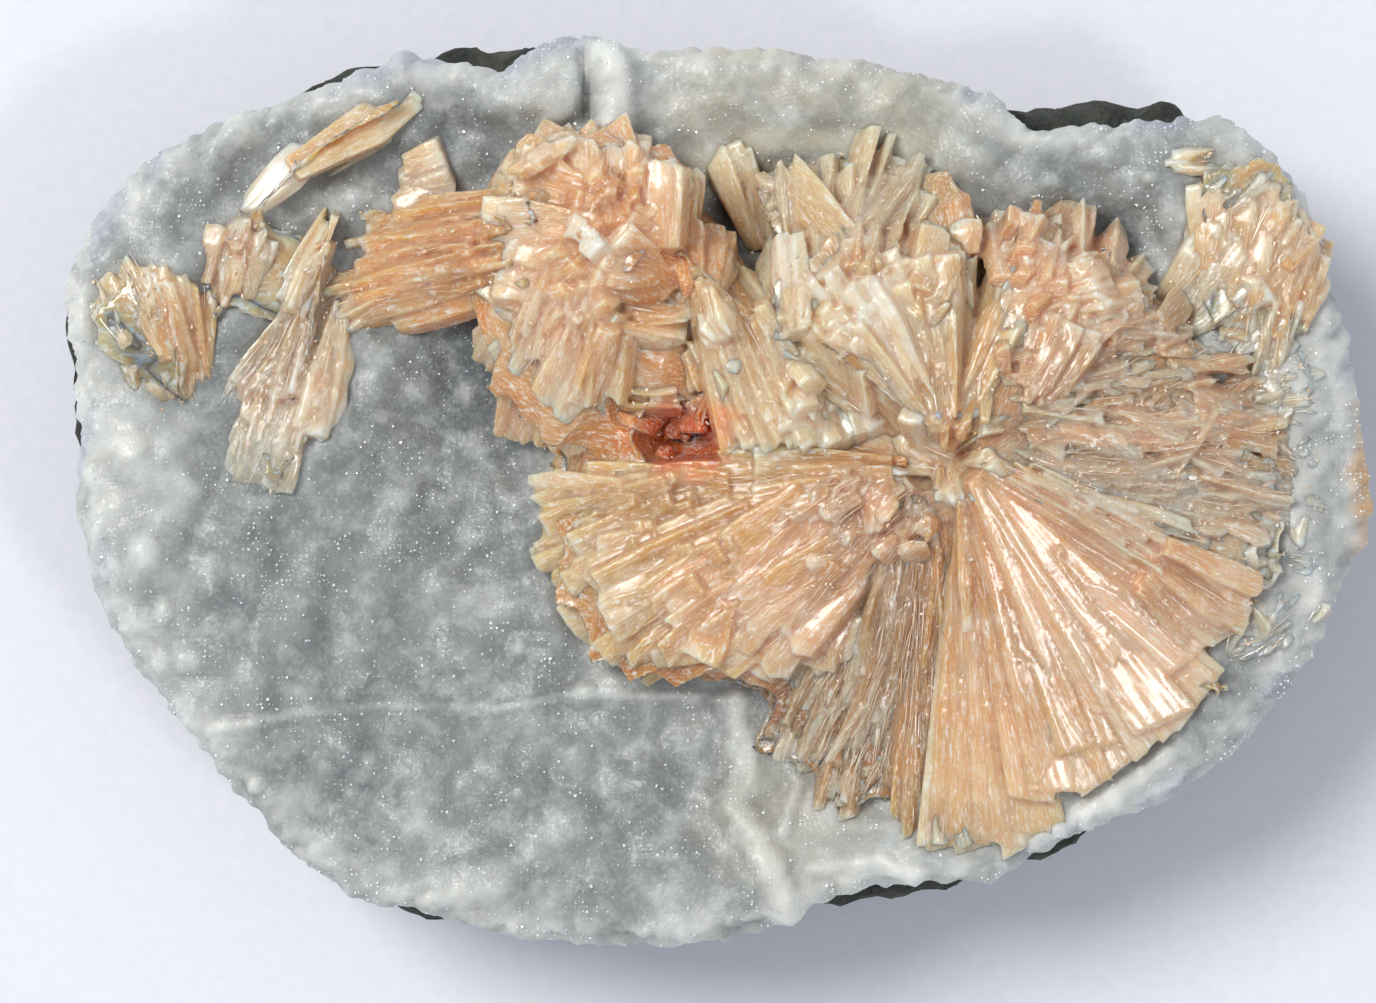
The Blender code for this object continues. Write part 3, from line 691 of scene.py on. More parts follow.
        "veil": (13.2, -12, 7.6, -24.8, 6, 9, 0.3, 0.3, 30, 0.6, 1.8, 12, 8, 0.2, 0.5,
            "mixed", "grey greyer brown"),
        "middle": (16.4, 0, 11.2, -27.6, 3, 8, 0.2, 0.2, 40, 0.8, 2.2, 10, 4, 0.25, 0.7,
            "laths", "brown umber brown"),
        "east": (17.4, 0.2, 15.8, -28.8, 2, 5, 0.2, 0.2, 36, 0.8, 2, 10, 3, 0.25, 0.7,
            "laths", "umber gold brown"),
        "pale_shell": (18.2, -20.4, 17.6, -28.6, 2, 3.4, 1, 0.8, 8, 1, 2, 16, 6, 0.3, 0.8,
            "plates", "greycream grey"),
    },
    "left": {
        "strand_north": (-29.4, 22.1, -33.5, 14.2, 1.6, 2, 0.6, 0.5, 7, 0.8, 1.6, 8, 2, 0.5, 0.9,
            "laths", "white cream"),
        "strand_east": (-28.9, 15.2, -31.7, 2.7, 1.8, 2.4, 0.7, 0.8, 14, 1, 2, 6, 2, 0.4, 0.9,
            "laths", "pale white pale"),
        "strand_middle": (-30.3, 18.2, -34.3, 4.8, 3, 5, 0.3, 0.2, 22, 0.9, 2.4, 8, 3, 0.3, 0.8,
            "laths", "brown pinkbrown greycream grey"),
        "strand_fill": (-32.9, 11.6, -35.1, 3.2, 4, 5, 0, 0, 8, 2.4, 3.4, 4, 3, 0.5, 0.9,
            "plates", "grey pinkbrown"),
        "strand_west": (-31.8, 15.2, -38, 4.8, 3, 4, 0.3, 0.1, 14, 0.9, 2.2, 8, 4, 0.3, 0.8,
            "laths", "brown greyer grey"),
        "strand_low": (-33.5, 7.2, -36.6, -1.4, 6, 5, 0.2, 0.1, 16, 1, 2.8, 8, 4, 0.3, 0.8,
            "plates", "greyer greyer grey"),
        "strand_lines": (-30.8, 16, -35.8, 0.8, 4, 7, 0.5, 0.3, 22, 0.3, 0.7, 10, 3, 0.15, 0.4,
            "laths", "white pale greyer"),
        "root_tuft": (-38.6, 13.8, -37, 21.4, 4, 4, 0.3, 0.4, 16, 0.8, 2.2, 8, 5, 0.3, 0.8,
            "plates", "pinkbrown greycream cream"),
        "tuft_lines": (-38.2, 13.8, -36.7, 21.4, 3, 4, 0.5, 0.6, 14, 0.3, 0.8, 10, 5, 0.15, 0.4,
            "laths", "white pale"),
        "long_blade": (-38.3, 20.6, -30.6, 27.5, 0.6, 0.8, 0.5, 0.6, 2, 2.6, 3, 4, 1, 0.97, 1,
            "laths", "white"),
        "long_blade_end": (-33, 25.4, -23.1, 31.5, 0.6, 0.8, 0.5, 0.5, 2, 3.2, 3.8, 4, 1, 0.97, 1,
            "laths", "cream pale"),
        "long_blade_side": (-32.4, 24, -23.6, 29.8, 0.6, 0.8, 0.2, 0.2, 3, 1.4, 2.2, 8, 2, 0.6, 0.9,
            "plates", "greycream pale"),
    },
    "orange": {
        "north": (-41.8, 8.4, -45.4, 18.9, 2, 5, 0.2, 0.2, 16, 1, 2.4, 8, 5, 0.3, 0.8,
            "plates", "pale orange cream"),
        "south": (-40.8, 7.2, -42, 17.6, 2, 4.4, 0.3, 0.3, 16, 0.9, 2.2, 8, 5, 0.3, 0.8,
            "plates", "orange orange pale"),
        "fade_west": (-44.4, 11.6, -48.2, 17.8, 5, 6, 0.1, 0, 18, 0.8, 2.2, 8, 8, 0.2, 0.6,
            "plates", "greycream cream greyer"),
        "fade_south": (-42.8, 5.6, -44.4, 11.2, 5, 6, 0, 0.1, 16, 0.6, 1.8, 8, 10, 0.2, 0.6,
            "plates", "greyer greycream straw"),
        "lines": (-41.2, 7.6, -43.8, 18.2, 3, 6, 0.4, 0.4, 24, 0.3, 0.7, 10, 4, 0.15, 0.4,
            "laths", "white cream straw"),
    },
    "rim": {
        "orange": (41.6, 15.2, 45.8, 23.6, 3, 5, 0.5, 0.4, 26, 0.8, 2.4, 6, 3, 0.3, 0.8,
            "plates", "orange straw pale"),
        "outer": (44.4, 11.6, 47, 21, 2.6, 3.4, 0.4, 0.3, 22, 0.8, 2.4, 6, 3, 0.3, 0.8,
            "plates", "cream pale orange"),
        "inner": (37.2, 14, 41.6, 22, 2, 3.6, 0.3, 0.2, 18, 0.8, 2.4, 6, 4, 0.3, 0.8,
            "plates", "greyer cream greycream"),
        "low": (42.4, 8.4, 43.8, 15.2, 2.6, 4, 0.3, 0.3, 20, 0.4, 1, 10, 3, 0.3, 0.8, "laths", "greyer cream"),
        "fill": (40, 12.8, 41.6, 24, 6, 8, 0.3, 0.2, 30, 1, 3, 6, 5, 0.3, 0.8,
            "plates", "greycream cream pale straw"),
        "flow": (34.8, 12.4, 43.8, 21.2, 4, 8, 0, 0, 40, 0.8, 2.6, 7, 6, 0.3, 0.8,
            "plates", "greyer greycream greyer"),
        "flow_low": (38.8, 7.2, 44.8, 12.8, 6, 8, -0.1, 0, 34, 0.8, 2.6, 8, 8, 0.3, 0.8,
            "plates", "greyer grey greycream"),
        "flow_high": (37.2, 20.8, 43.8, 25.6, 4, 5, -0.1, -0.1, 26, 0.4, 1.2, 10, 5, 0.3, 0.8,
            "laths", "greyer cream grey"),
        "white": (40, 25.6, 34.8, 25.1, 2, 1.6, 0.5, 0.7, 8, 0.6, 1.3, 12, 5, 0.3, 0.8, "laths", "cream white"),
    },
}

# The groups that stand for each solid. A group's crystals are fused where they cross.
GROUPS_OF_NODES = {
    "stilbite_main_spray": (
        "slab", "east", "north_side", "laths", "seam", "pit", "upper_mass", "arm", "west", "under",
    ),
    "stilbite_left_sheaf": ("left",),
    "stilbite_orange_fan": ("orange",),
    "stilbite_right_sheaf": ("rim",),
}

# How many fibres lie on every two crystals of a group. On the other groups it is one.
FIBRES_ON_TWO = {"under": 8, "east": 2, "slab": 2, "west": 2, "orange": 2}

# Splinters: how many there are for each crystal that is listed, their lengths and widths, by how many degrees
# they stray from the crystal's direction, and their colours. The near-white colours are partly the splinters'
# own and partly painted glints.
SPLINTERS = {
    "fibres": {
        "each": 0.5, "lengths": (1.0, 4.5), "widths": (0.03, 0.08), "stray": 4.0,
        "colours": ((254, 248, 238), (252, 236, 214), (246, 210, 168)),
    },
    "flakes": {
        "each": 1.0, "lengths": (0.12, 0.4), "widths": (0.06, 0.2), "stray": 40.0,
        "colours": ((254, 248, 238), (250, 232, 210), (244, 214, 180)),
    },
}


def pick(test):
    """In edit mode, selects the points that pass a test."""
    mesh = bmesh.from_edit_mesh(bpy.context.edit_object.data)
    for vert in mesh.verts:
        vert.select = test(vert.co)
    mesh.select_flush(True)
    bmesh.update_edit_mesh(bpy.context.edit_object.data)


def cut(place, direction, **settings):
    """In edit mode, cuts the whole mesh by a plane."""
    bpy.ops.mesh.select_all(action="SELECT")
    bpy.ops.mesh.bisect(plane_co=place, plane_no=direction, **settings)


def scale_picked(test, factors, centre):
    pick(test)
    bpy.ops.transform.resize(value=factors, center_override=centre)


def move_picked(test, offset):
    pick(test)
    bpy.ops.transform.translate(value=offset)


def start_box(name):
    """A box in edit mode, with its root at the origin, its length along x and its top at z = 0."""
    length, _, thickness = CRYSTAL_SIZE
    bpy.ops.mesh.primitive_cube_add(size=1, location=(length / 2, 0, -thickness / 2), scale=CRYSTAL_SIZE)
    box = bpy.context.object
    box.name = name
    bpy.ops.object.transform_apply(location=True, rotation=False, scale=True)
    bpy.ops.object.mode_set(mode="EDIT")
    return box


def end_shape():
    """Leaves edit mode, with nothing selected."""
    bpy.ops.object.mode_set(mode="OBJECT")
    bpy.ops.object.select_all(action="DESELECT")


def model_crystal(name, cuts, root=0.5, waist=1.0, tip=1.0, split=0.3, drop=0.35):
    """A flat crystal. It narrows to its root, and its top slopes down along one edge.

    Root, waist and tip are its widths there as shares of the box's. Split is where the slope starts, drop is
    how far it goes down, and cuts are the planes that cut the tip, each with its place and its direction.
    """
    length, width, thickness = CRYSTAL_SIZE
    crystal = start_box(name)
    cut((0.62 * length, 0, 0), (1, 0, 0))
    cut((0, split * width, 0), (0.03, 1, 0))
    middle = (length / 2, 0, -thickness / 2)
    scale_picked(lambda p: p.x < 0.01, (1, root, 0.7), middle)
    scale_picked(lambda p: 0.01 < p.x < 0.99 * length, (1, waist, 1), middle)
    scale_picked(lambda p: p.x > 0.99 * length, (1, tip, 0.8), middle)
    slope_from = (split + 0.01) * width * min(root, tip)
    move_picked(lambda p: p.z > -0.2 * thickness and p.y > slope_from, (0, 0, -drop))
    for place, direction in cuts:
        cut((place * length, 0, -0.3 * thickness), direction, clear_outer=True, use_fill=True)
    bpy.ops.mesh.select_all(action="SELECT")
    bpy.ops.mesh.normals_make_consistent(inside=False)
    end_shape()
    return crystal


def crystal_shapes():
    """The crystals that sheaves are made of, by kind."""
    square = model_crystal("square_crystal", ((0.97, (1, 0.12, 0.25)),))
    oblique = model_crystal("oblique_crystal", ((0.9, (1, 0.7, 0.2)),), root=0.4, split=-0.3)
    contrary = model_crystal("contrary_crystal", ((0.9, (1, -0.8, 0.15)),), root=0.4, split=0.35)
    pointed = model_crystal(
        "pointed_crystal", ((0.93, (1, 0.9, 0.2)), (0.94, (1, -1.1, 0.1))), split=0.05, drop=0.2
    )
    narrowing = model_crystal("narrowing_crystal", ((0.97, (1, 0.3, 0.3)),), root=0.6, tip=0.55, split=0.15)
    shard = model_crystal("shard_crystal", ((0.96, (1, -0.4, 0.2)),), root=0.3, waist=1.05, tip=0.4, split=-0.1)
    broad = model_crystal(
        "broad_crystal", ((0.92, (1, 0.35, 0.2)), (0.96, (1, -0.9, 0.1))), root=0.7, split=-0.2, drop=0.12
    )
    wedge = model_crystal("wedge_crystal", ((0.96, (1, 0.2, 0.3)),), root=0.14, waist=0.66, split=0.2, drop=0.1)
    cut_wedge = model_crystal(
        "cut_wedge_crystal", ((0.93, (1, -0.25, 0.2)),), root=0.14, waist=0.66, split=-0.25, drop=0.08
    )
    return {
        "laths": (square, square, oblique, contrary, narrowing),
        "plates": (broad, oblique, contrary, pointed, square),
        "shards": (shard, pointed),
        "wedges": (wedge, cut_wedge),
        "mixed": (square, oblique, contrary, pointed, narrowing, shard, broad),
    }


def model_splinter(name, taper):
    """A very thin splinter, narrowed to both ends and cut aslant."""
    length, _, thickness = CRYSTAL_SIZE
    splinter = start_box(name)
    cut((0.4 * length, 0, 0), (1, 0.05, 0))
    scale_picked(lambda p: p.x < 0.01 or p.x > 0.99 * length, (1, taper, taper), (0, 0, -thickness / 2))
    move_picked(lambda p: p.z > -0.3 * thickness and p.y > 0, (0, 0, -0.3))
    end_shape()
    return splinter


def crystal_place(start, directions, sizes):
    """The matrix that brings a modelled crystal to a place, three directions and three sizes."""
    columns = [way * (size / own) for way, size, own in zip(directions, sizes, CRYSTAL_SIZE)]
    place = Matrix(columns).transposed().to_4x4()
    place.translation = start
    return place


class Ground:
    """Heights of a piece's top seen from straight above."""

    def __init__(self, *pieces):
        points, faces = [], []
        for piece in pieces:
            shift = len(points)
            points += [v.co.copy() for v in piece.data.vertices]
            faces += [tuple(shift + i for i in polygon.vertices) for polygon in piece.data.polygons]
        self.tree = BVHTree.FromPolygons(points, faces)

    def height(self, x, y, default):
        hit = self.tree.ray_cast(Vector((x, y, SKY)), Vector((0, 0, -1)))[0]
        return hit.z if hit else default


def over_pit(place):
    """How far from the pit's centre a place is in plan, as a share of the pit's size."""
    return math.hypot((place.x - PIT_CENTRE[0]) / PIT_RADII[0], (place.y - PIT_CENTRE[1]) / PIT_RADII[1])


def grow_sheaf(name, sheaf, shapes, ground, grown, facts):
    """Copies crystals into one sheaf. The facts of each, such as its frame and colours, are kept."""
    root, tip = Vector((sheaf.root_x, sheaf.root_y, 0)), Vector((sheaf.tip_x, sheaf.tip_y, 0))
    colours = sheaf.colours.split()
    ahead = (tip - root).normalized()
    aside = Vector((-ahead.y, ahead.x, 0))
    chance = random.Random(name)
    usual = np.mean([[linear(*c) for c in PALETTE[colour]] for colour in colours], axis=0)
    for i in range(sheaf.count):
        side = ((i + chance.uniform(0, 1)) / sheaf.count) * 2 - 1
        near = root + aside * side * sheaf.root_width / 2
        far = tip + aside * side * sheaf.tip_width / 2
        stretch = chance.uniform(sheaf.short, sheaf.long)
        begin = chance.uniform(0, 1 - stretch)
        stop = begin + stretch
        start, end = near.lerp(far, begin), near.lerp(far, stop)
        middle = (start + end) / 2
        turn = Matrix.Rotation(math.radians(chance.gauss(0, sheaf.stray)), 3, "Z")
        start, end = middle + turn @ (start - middle), middle + turn @ (end - middle)
        room = 0.0 if "pit" in name else chance.uniform(*PIT_ROOM)
        if any(over_pit(start.lerp(end, share)) < room for share in (0, 0.25, 0.5, 0.75, 1)):
            continue
        lift = chance.gauss(0, LIFT_SPREAD + LIFT_SPREAD_BY_ROLL * sheaf.roll)
        heights = [ground.height(p.x, p.y, USUAL_GROUND) for p in (start, middle, end)]
        clear = min(MOST_CLEARANCE, max(0.0, heights[1] - (heights[0] + heights[2]) / 2))
        start.z = heights[0] + blend_values(sheaf.root_lift, sheaf.tip_lift, begin) + lift + clear
        end.z = heights[2] + blend_values(sheaf.root_lift, sheaf.tip_lift, stop) + lift + clear
        start.z, end.z = min(start.z, CRYSTAL_TOP), min(end.z, CRYSTAL_TOP)
        forward = (end - start).normalized()
        level = Vector((0, 0, 1)).cross(forward).normalized()
        across = Matrix.Rotation(math.radians(chance.gauss(0, sheaf.roll)), 3, forward) @ level
        up = forward.cross(across)
        length = (end - start).length
        width = chance.uniform(sheaf.narrow, sheaf.broad)
        thickness = chance.uniform(*CRYSTAL_THICKNESSES)
        place = crystal_place(start, (forward, across, up), (length, width, thickness))
        copy = copied(f"{name}_{i}", chance.choice(shapes[sheaf.kind]), place)
        layer = copy.data.attributes.new("crystal", "INT", "FACE")
        layer.data.foreach_set("value", [len(facts)] * len(copy.data.polygons))
        grown.append(copy)
        own = np.array([linear(*c) for c in PALETTE[chance.choice(colours)]])
        low, high = blend_values(usual, own, OWN_COLOUR)
        shade = chance.gauss(1.0, LIGHTNESS_SPREAD)
        facts.append(
            {
                "start": start, "forward": forward, "across": across, "up": up, "length": length,
                "half_width": width / 2, "low": low * shade, "high": high * shade,
                "shift": chance.uniform(0, GRAIN_SHIFT),
            }
        )


def pit_colours(points, colour):
    """Deep red-orange from iron in and close round the pit, redder low down, and darkened at its bottom as
    painted shade.
    """
    away = np.linalg.norm((points - PIT_CENTRE)[:, :2] / PIT_RADII[:2], axis=1)
    away += 0.45 * cloudy(points, 1.6, 21)
    deep = smooth_share(24.6, 27.4, points[:, 2] + 0.8 * cloudy(points, 1.2, 22))
    stained = blend_colours(linear(226, 100, 20), linear(252, 172, 100), deep)
    # Painted shade: darker towards the pit's bottom.
    stained = stained * blend_values(0.78, 1.0, smooth_share(23.4, 25.4, points[:, 2]))[:, None]
    return blend_colours(stained, colour, smooth_share(0.8, 1.5, away))


def stain_and_shade(piece, colour):
    """Colours a piece with slow changes over it, reddens the pit and paints shade at the pit's bottom."""
    points = points_of(piece)
    colour = colour * (1 + 0.12 * cloudy(points, 5.0, 11) + 0.07 * cloudy(points, 1.6, 12))[:, None]
    milky = 0.2 * smooth_share(0.05, 0.6, cloudy(points, 3.6, 13))
    colour = blend_colours(colour, linear(240, 222, 202), milky)
    colour = np.clip(pit_colours(points, colour), 0, 1)
    paint(piece, "tint", np.column_stack([colour, np.ones(len(colour))]))


def nearest_crystals(loose, points):
    """For each point, the number of the crystal whose face is nearest."""
    mesh = loose.data
    numbers = np.empty(len(mesh.polygons), dtype=np.int32)
    mesh.attributes["crystal"].data.foreach_get("value", numbers)
    tree = BVHTree.FromPolygons([v.co for v in mesh.vertices], [tuple(p.vertices) for p in mesh.polygons])
    return numbers[np.array([tree.find_nearest(point)[2] for point in points.tolist()])]


def colour_crystals(piece, own, share, ahead, under):
    """Each crystal's colours: paler at its frosted tip; paler on its edges, partly frost and partly painted
    highlight, and on raised places as painted highlight; darker and warmer low down, in grooves, hollows and
    valleys as painted shade.

    For each point, share is how far along its crystal it is, ahead how far the tip is, with some noise, and
    under its height over the crystal's top.
    """
    colour = blend_colours(own["low"], own["high"], share**1.3)
    frosted = smooth_share(1.3, 0.0, ahead) * smooth_share(-1.2, -0.3, under)
    colour = blend_colours(colour, linear(248, 240, 226), 0.6 * frosted)
    edges, hollows = relief(piece, EDGE_RELIEF), relief(piece, HOLLOW_RELIEF)
    valleys = relief(piece, VALLEY_RELIEF)
    pale, warm = linear(250, 240, 224), (0.9, 0.64, 0.4)
    # Painted highlight: edges paler (partly frost), and raised places paler.
    colour = blend_colours(colour, pale, 0.8 * smooth_share(0.02, 0.085, edges))
    colour = blend_colours(colour, pale, 0.4 * smooth_share(0.15, 0.7, hollows))
    # Painted shade: darker and warmer orange in hollows, grooves, low under the crystals' tops and in valleys.
    for strength, depth in (
        (0.95, smooth_share(-0.04, -0.6, hollows)),
        (0.22, smooth_share(-0.01, -0.09, edges)),
        (0.6, smooth_share(-0.6, -2.2, under)),
        (0.7, smooth_share(0.0, -1.1, valleys)),
    ):
        colour = colour * blend_colours(np.ones(3), warm, strength * depth)
    return colour


def fuse_crystals(name, grown, facts):
    """Fuses crystals where they cross, and gives the whole their grain, fine ribs and colours."""
    loose = joined(f"{name}_loose", grown)
    piece = placed(name, loose.data.copy())
    modify(piece, "REMESH", mode="VOXEL", voxel_size=CRYSTAL_VOXEL, adaptivity=0.0)
    piece = drop_crumbs(piece, CRYSTAL_CRUMB)
    modify(piece, "SMOOTH", factor=0.5, iterations=SOFTNESS.get(name, 1))
    points, normals = points_of(piece), normals_of(piece)
    numbers = nearest_crystals(loose, points)
    bpy.data.objects.remove(loose)
    own = {key: np.array([fact[key] for fact in facts])[numbers] for key in facts[0]}
    away = points - own["start"]
    u, v, w = (np.einsum("ij,ij->i", away, own[key]) for key in ("forward", "across", "up"))
    shift = own["shift"]
    ribs = 0.6 * ripples(v / 0.6 + shift, u / 6 + shift, 3) + 0.4 * ripples(v / 0.3 + shift, u / 3 + shift, 5)
    move_points(piece, points + normals * (0.05 * ribs)[:, None])
    paint(piece, "grain", np.stack([u + shift, v + w + shift, w], axis=1))
    ahead = own["length"] - u + 0.5 * ripples(v / 0.5 + shift, shift, 9)
    stain_and_shade(piece, colour_crystals(piece, own, np.clip(u / own["length"], 0, 1), ahead, w))
    shade_smooth(piece)
    return piece


def dress_bed(node, name):
    """The mass under the crystals, a little lower than its solid. Its grain runs out from the star's centre."""
    bed = working_copy(node, name)
    modify(bed, "REMESH", mode="VOXEL", voxel_size=BED_VOXEL, adaptivity=0.0)
    bed = drop_crumbs(bed, BED_CRUMB)
    modify(bed, "SMOOTH", factor=0.5, iterations=3)
    points, normals = points_of(bed), normals_of(bed)
    points = points - normals * BED_INSET + normals * (0.2 * cloudy(points, 1.5, 61))[:, None]
    points[:, 2] -= BED_DROP
    move_points(bed, points)
    away = points - STAR_CENTRE
    turned = np.arctan2(away[:, 1], away[:, 0]) * GRAIN_TURN
    paint(bed, "grain", np.stack([np.hypot(away[:, 0], away[:, 1]), turned, points[:, 2]], axis=1))
    shade_smooth(bed)
    return bed


def tint_bed(bed, facts):
    """Gives the mass the root colours of the crystals nearest to each place, a little deeper, and paler on its
    raised places as a painted highlight.
    """
    tree = KDTree(2 * len(facts))
    for i, fact in enumerate(facts):
        for share in (0.3, 0.9):
            tree.insert(fact["start"] + fact["forward"] * fact["length"] * share, i)
    tree.balance()
    nearest = [tree.find(point)[1] for point in points_of(bed).tolist()]
    colour = np.array([fact["low"] for fact in facts])[nearest] * np.array((0.95, 0.82, 0.68))
    # Painted highlight: the bed is paler where it stands out.
    raised = smooth_share(0.05, 0.4, relief(bed, BED_RELIEF))
    stain_and_shade(bed, blend_colours(colour, linear(246, 232, 212), 0.5 * raised))


def lay_splinters(name, shape, facts, each, lengths, widths, stray, colours):
    """Copies splinters onto crystals, each along the crystal that it lies on, as one piece."""
    chance = random.Random(name)
    laid = []
    for i in range(round(each * len(facts))):
        fact = chance.choice(facts)
        length = min(chance.uniform(*lengths), 0.9 * fact["length"])
        begin = chance.uniform(0.05, 0.98) * (fact["length"] - length)
        side = chance.uniform(-0.8, 0.8) * fact["half_width"] * min(1.0, 0.4 + begin / fact["length"])
        turn = Matrix.Rotation(math.radians(chance.gauss(0, stray)), 3, fact["up"])
        width = chance.uniform(*widths)
        thickness = width * chance.uniform(0.7, 1.3)
        start = fact["start"] + fact["forward"] * begin + fact["across"] * side + fact["up"] * thickness * 0.3
        directions = (turn @ fact["forward"], turn @ fact["across"], fact["up"])
        copy = copied(f"{name}_{i}", shape, crystal_place(start, directions, (length, width, thickness)))
        # Near-white splinter colours: partly their own, partly painted glints.
        colour = np.array(linear(*chance.choice(colours)))
        colour = blend_values(fact["high"], colour, chance.uniform(0.3, 1.0))
        paint(copy, "tint", np.tile([*np.clip(colour, 0, 1), 1.0], (len(copy.data.vertices), 1)))
        laid.append(copy)
    return joined(name, laid)


def grow_stilbite(material, fibre_material, crust):
    """Dresses each stilbite solid: its bed, the groups of crystals on it, and their fibres and flakes."""
    shapes = crystal_shapes()
    splinter, chip = model_splinter("splinter", 0.25), model_splinter("chip", 0.6)
    for node, groups in GROUPS_OF_NODES.items():
        slot = "stilbite_orange" if "orange" in node else "stilbite"
        bed = dress_bed(node, node.replace("stilbite_", "bed_of_"))
        ground = Ground(bed, crust)
        all_facts, fibrous = [], []
        for group in groups:
            grown, facts = [], []
            for name, sheaf in SHEAVES[group].items():
                grow_sheaf(f"{group}_{name}", Sheaf(*sheaf), shapes, ground, grown, facts)
            piece = fuse_crystals(f"crystals_{group}", grown, facts)
            finish_piece(piece, material, node, slot=slot)
            all_facts += facts
            fibrous += facts * FIBRES_ON_TWO.get(group, 1)
        tint_bed(bed, all_facts)
        finish_piece(bed, material, node, slot=slot)
        for kind, shape, hosts in (("fibres", splinter, fibrous), ("flakes", chip, all_facts)):
            laid = lay_splinters(node.replace("stilbite", kind), shape, hosts, **SPLINTERS[kind])
            finish_piece(laid, fibre_material, node, slot=slot)
    for shape in {splinter, chip}.union(*shapes.values()):
        bpy.data.objects.remove(shape)


# Chalcedony

# Raised places, and places that are just paler or darker, on the crust: centre, radii, height, and how much
# paler they are. Some darker ones are painted shadow and painted shade.
KNOBS_AND_PAINTED_SHADOWS = (
    ((-12.4, 31.6), (2.7, 3.0), 1.3, 0.7), ((-43.2, -9.6), (1.0, 1.2), 0.7, 1.0),
    ((-41.2, -13.2), (1.5, 1.3), 0.9, 1.0), ((-36.0, -23.2), (0.6, 0.6), 0.5, 1.0),
    ((-15.6, -12.4), (0.8, 1.1), 0.7, 1.0), ((-10.4, -16.0), (1.4, 1.2), 0.7, 0.6),
    ((35.8, 21.4), (1.4, 1.8), 0.5, 0.8), ((33.8, 18.4), (1.3, 1.1), 0.4, 0.8),
    ((34.0, 24.4), (0.7, 0.6), 0.4, 0.9), ((-43.0, 1.0), (4.6, 5.6), 0.2, 0.55),
    ((-45.6, 3.4), (1.8, 1.4), 0.5, 0.9), ((-44.6, -5.0), (1.8, 1.6), 0.5, 0.9),
    ((-26.4, 30.4), (3.0, 1.6), 0.5, 0.5), ((-50.0, 14.0), (1.6, 3.2), 0.4, 0.5),
    ((-27.0, -24.8), (4.4, 4.4), 0.0, -0.9), ((-36.0, -24.0), (5.0, 5.0), 0.0, -0.6),
    # Painted shadow under overhanging crystals at (-18.4, 7.0) and (-21.6, 8.6); painted shade of a hollow at
    # (1.8, 20.8).
    ((-18.4, 7.0), (3.6, 6.0), 0.0, -1.0), ((1.8, 20.8), (2.6, 3.6), 0.0, -1.2),
    ((31.2, 20.0), (3.2, 3.8), 0.0, -1.0), ((-21.6, 8.6), (4.6, 7.4), 0.0, -0.8),
    ((-34.0, 27.0), (6.0, 3.0), 0.0, -0.5), ((-22.0, 28.0), (7.0, 4.0), 0.0, -0.7),
    ((8.0, -27.0), (9.0, 6.0), 0.1, 0.4), ((44.0, -4.0), (5.0, 12.0), 0.2, 0.9),
    ((45.0, 8.0), (5.0, 9.0), 0.2, 0.9),
)

# Ridges and veins: their points, half width, height, and how much paler they are.
RIDGES = (
    (((-7.9, 33.2), (-7.6, 31.0), (-8.4, 26.6)), 1.9, 1.6, 1.3),
    (((-10.4, 34.4), (-10.0, 29.0)), 0.5, -0.9, -0.9),
    (((-39.6, -18.8), (-33.2, -17.6), (-25.2, -16.8), (-17.2, -17.2),
       (-10.8, -16.0), (0.4, -16.4)), 0.45, 0.25, 0.7),
    (((-11.2, -16.4), (-6.0, -21.0), (-1.0, -24.0), (4.0, -30.0)), 0.4, 0.12, 0.35),
    (((-28.0, 12.8), (-22.0, 6.0), (-17.2, 1.6), (-14.0, -10.4)), 0.4, 0.12, 0.3),
    (((1.6, -16.8), (2.4, -21.6), (1.6, -24.8), (4.4, -29.2), (5.8, -33.2)), 1.4, 1.0, 1.3),
    (((4.4, -20.0), (6.6, -23.0), (5.4, -26.6)), 0.5, 0.5, 0.8),
    (((8.0, -29.6), (13.0, -29.0), (16.0, -30.4)), 0.6, 0.4, 0.7),
    (((25.0, -27.4), (30.4, -24.8), (35.4, -20.6)), 0.9, 0.5, 0.9),
)


def segment_distance(points, line):
    """How far each point is from a line of points, in plan."""
    nearest = np.full(len(points), 1e9)
    for first, second in zip(line, line[1:]):
        a, b = np.array(first), np.array(second)
        share = np.clip(((points[:, :2] - a) @ (b - a)) / ((b - a) @ (b - a)), 0, 1)
        nearest = np.minimum(nearest, np.linalg.norm(points[:, :2] - a - share[:, None] * (b - a), axis=1))
    return nearest


def bubbly(points):
    """The crust's round swellings: how high they stand, and how pale each is."""
    chance = np.random.default_rng(8)
    seeds = np.column_stack([chance.uniform(-52, 52, BUBBLES), chance.uniform(-36, 36, BUBBLES)])
    radii, strengths = chance.uniform(*BUBBLE_RADII, BUBBLES), chance.random(BUBBLES)
    height, pale = np.zeros(len(points)), np.zeros(len(points))
    diagonal = 1.42
    for (x, y), radius, strength in zip(seeds, radii, strengths):
        close = np.flatnonzero(np.abs(points[:, 0] - x) + np.abs(points[:, 1] - y) < diagonal * radius)
        away = ((points[close, 0] - x) ** 2 + (points[close, 1] - y) ** 2) / radius**2
        dome = np.clip(1 - away, 0, 1)
        height[close] = np.maximum(height[close], dome * radius * BUBBLE_RISE * (0.4 + 0.6 * strength))
        pale[close] += 0.55 * dome**1.5 * strength
    return height, pale


def off_centre(points, centre, radii):
    """How far each point is from a centre in plan, as a share of the radii."""
    return np.linalg.norm((points[:, :2] - np.array(centre)) / np.array(radii), axis=1)


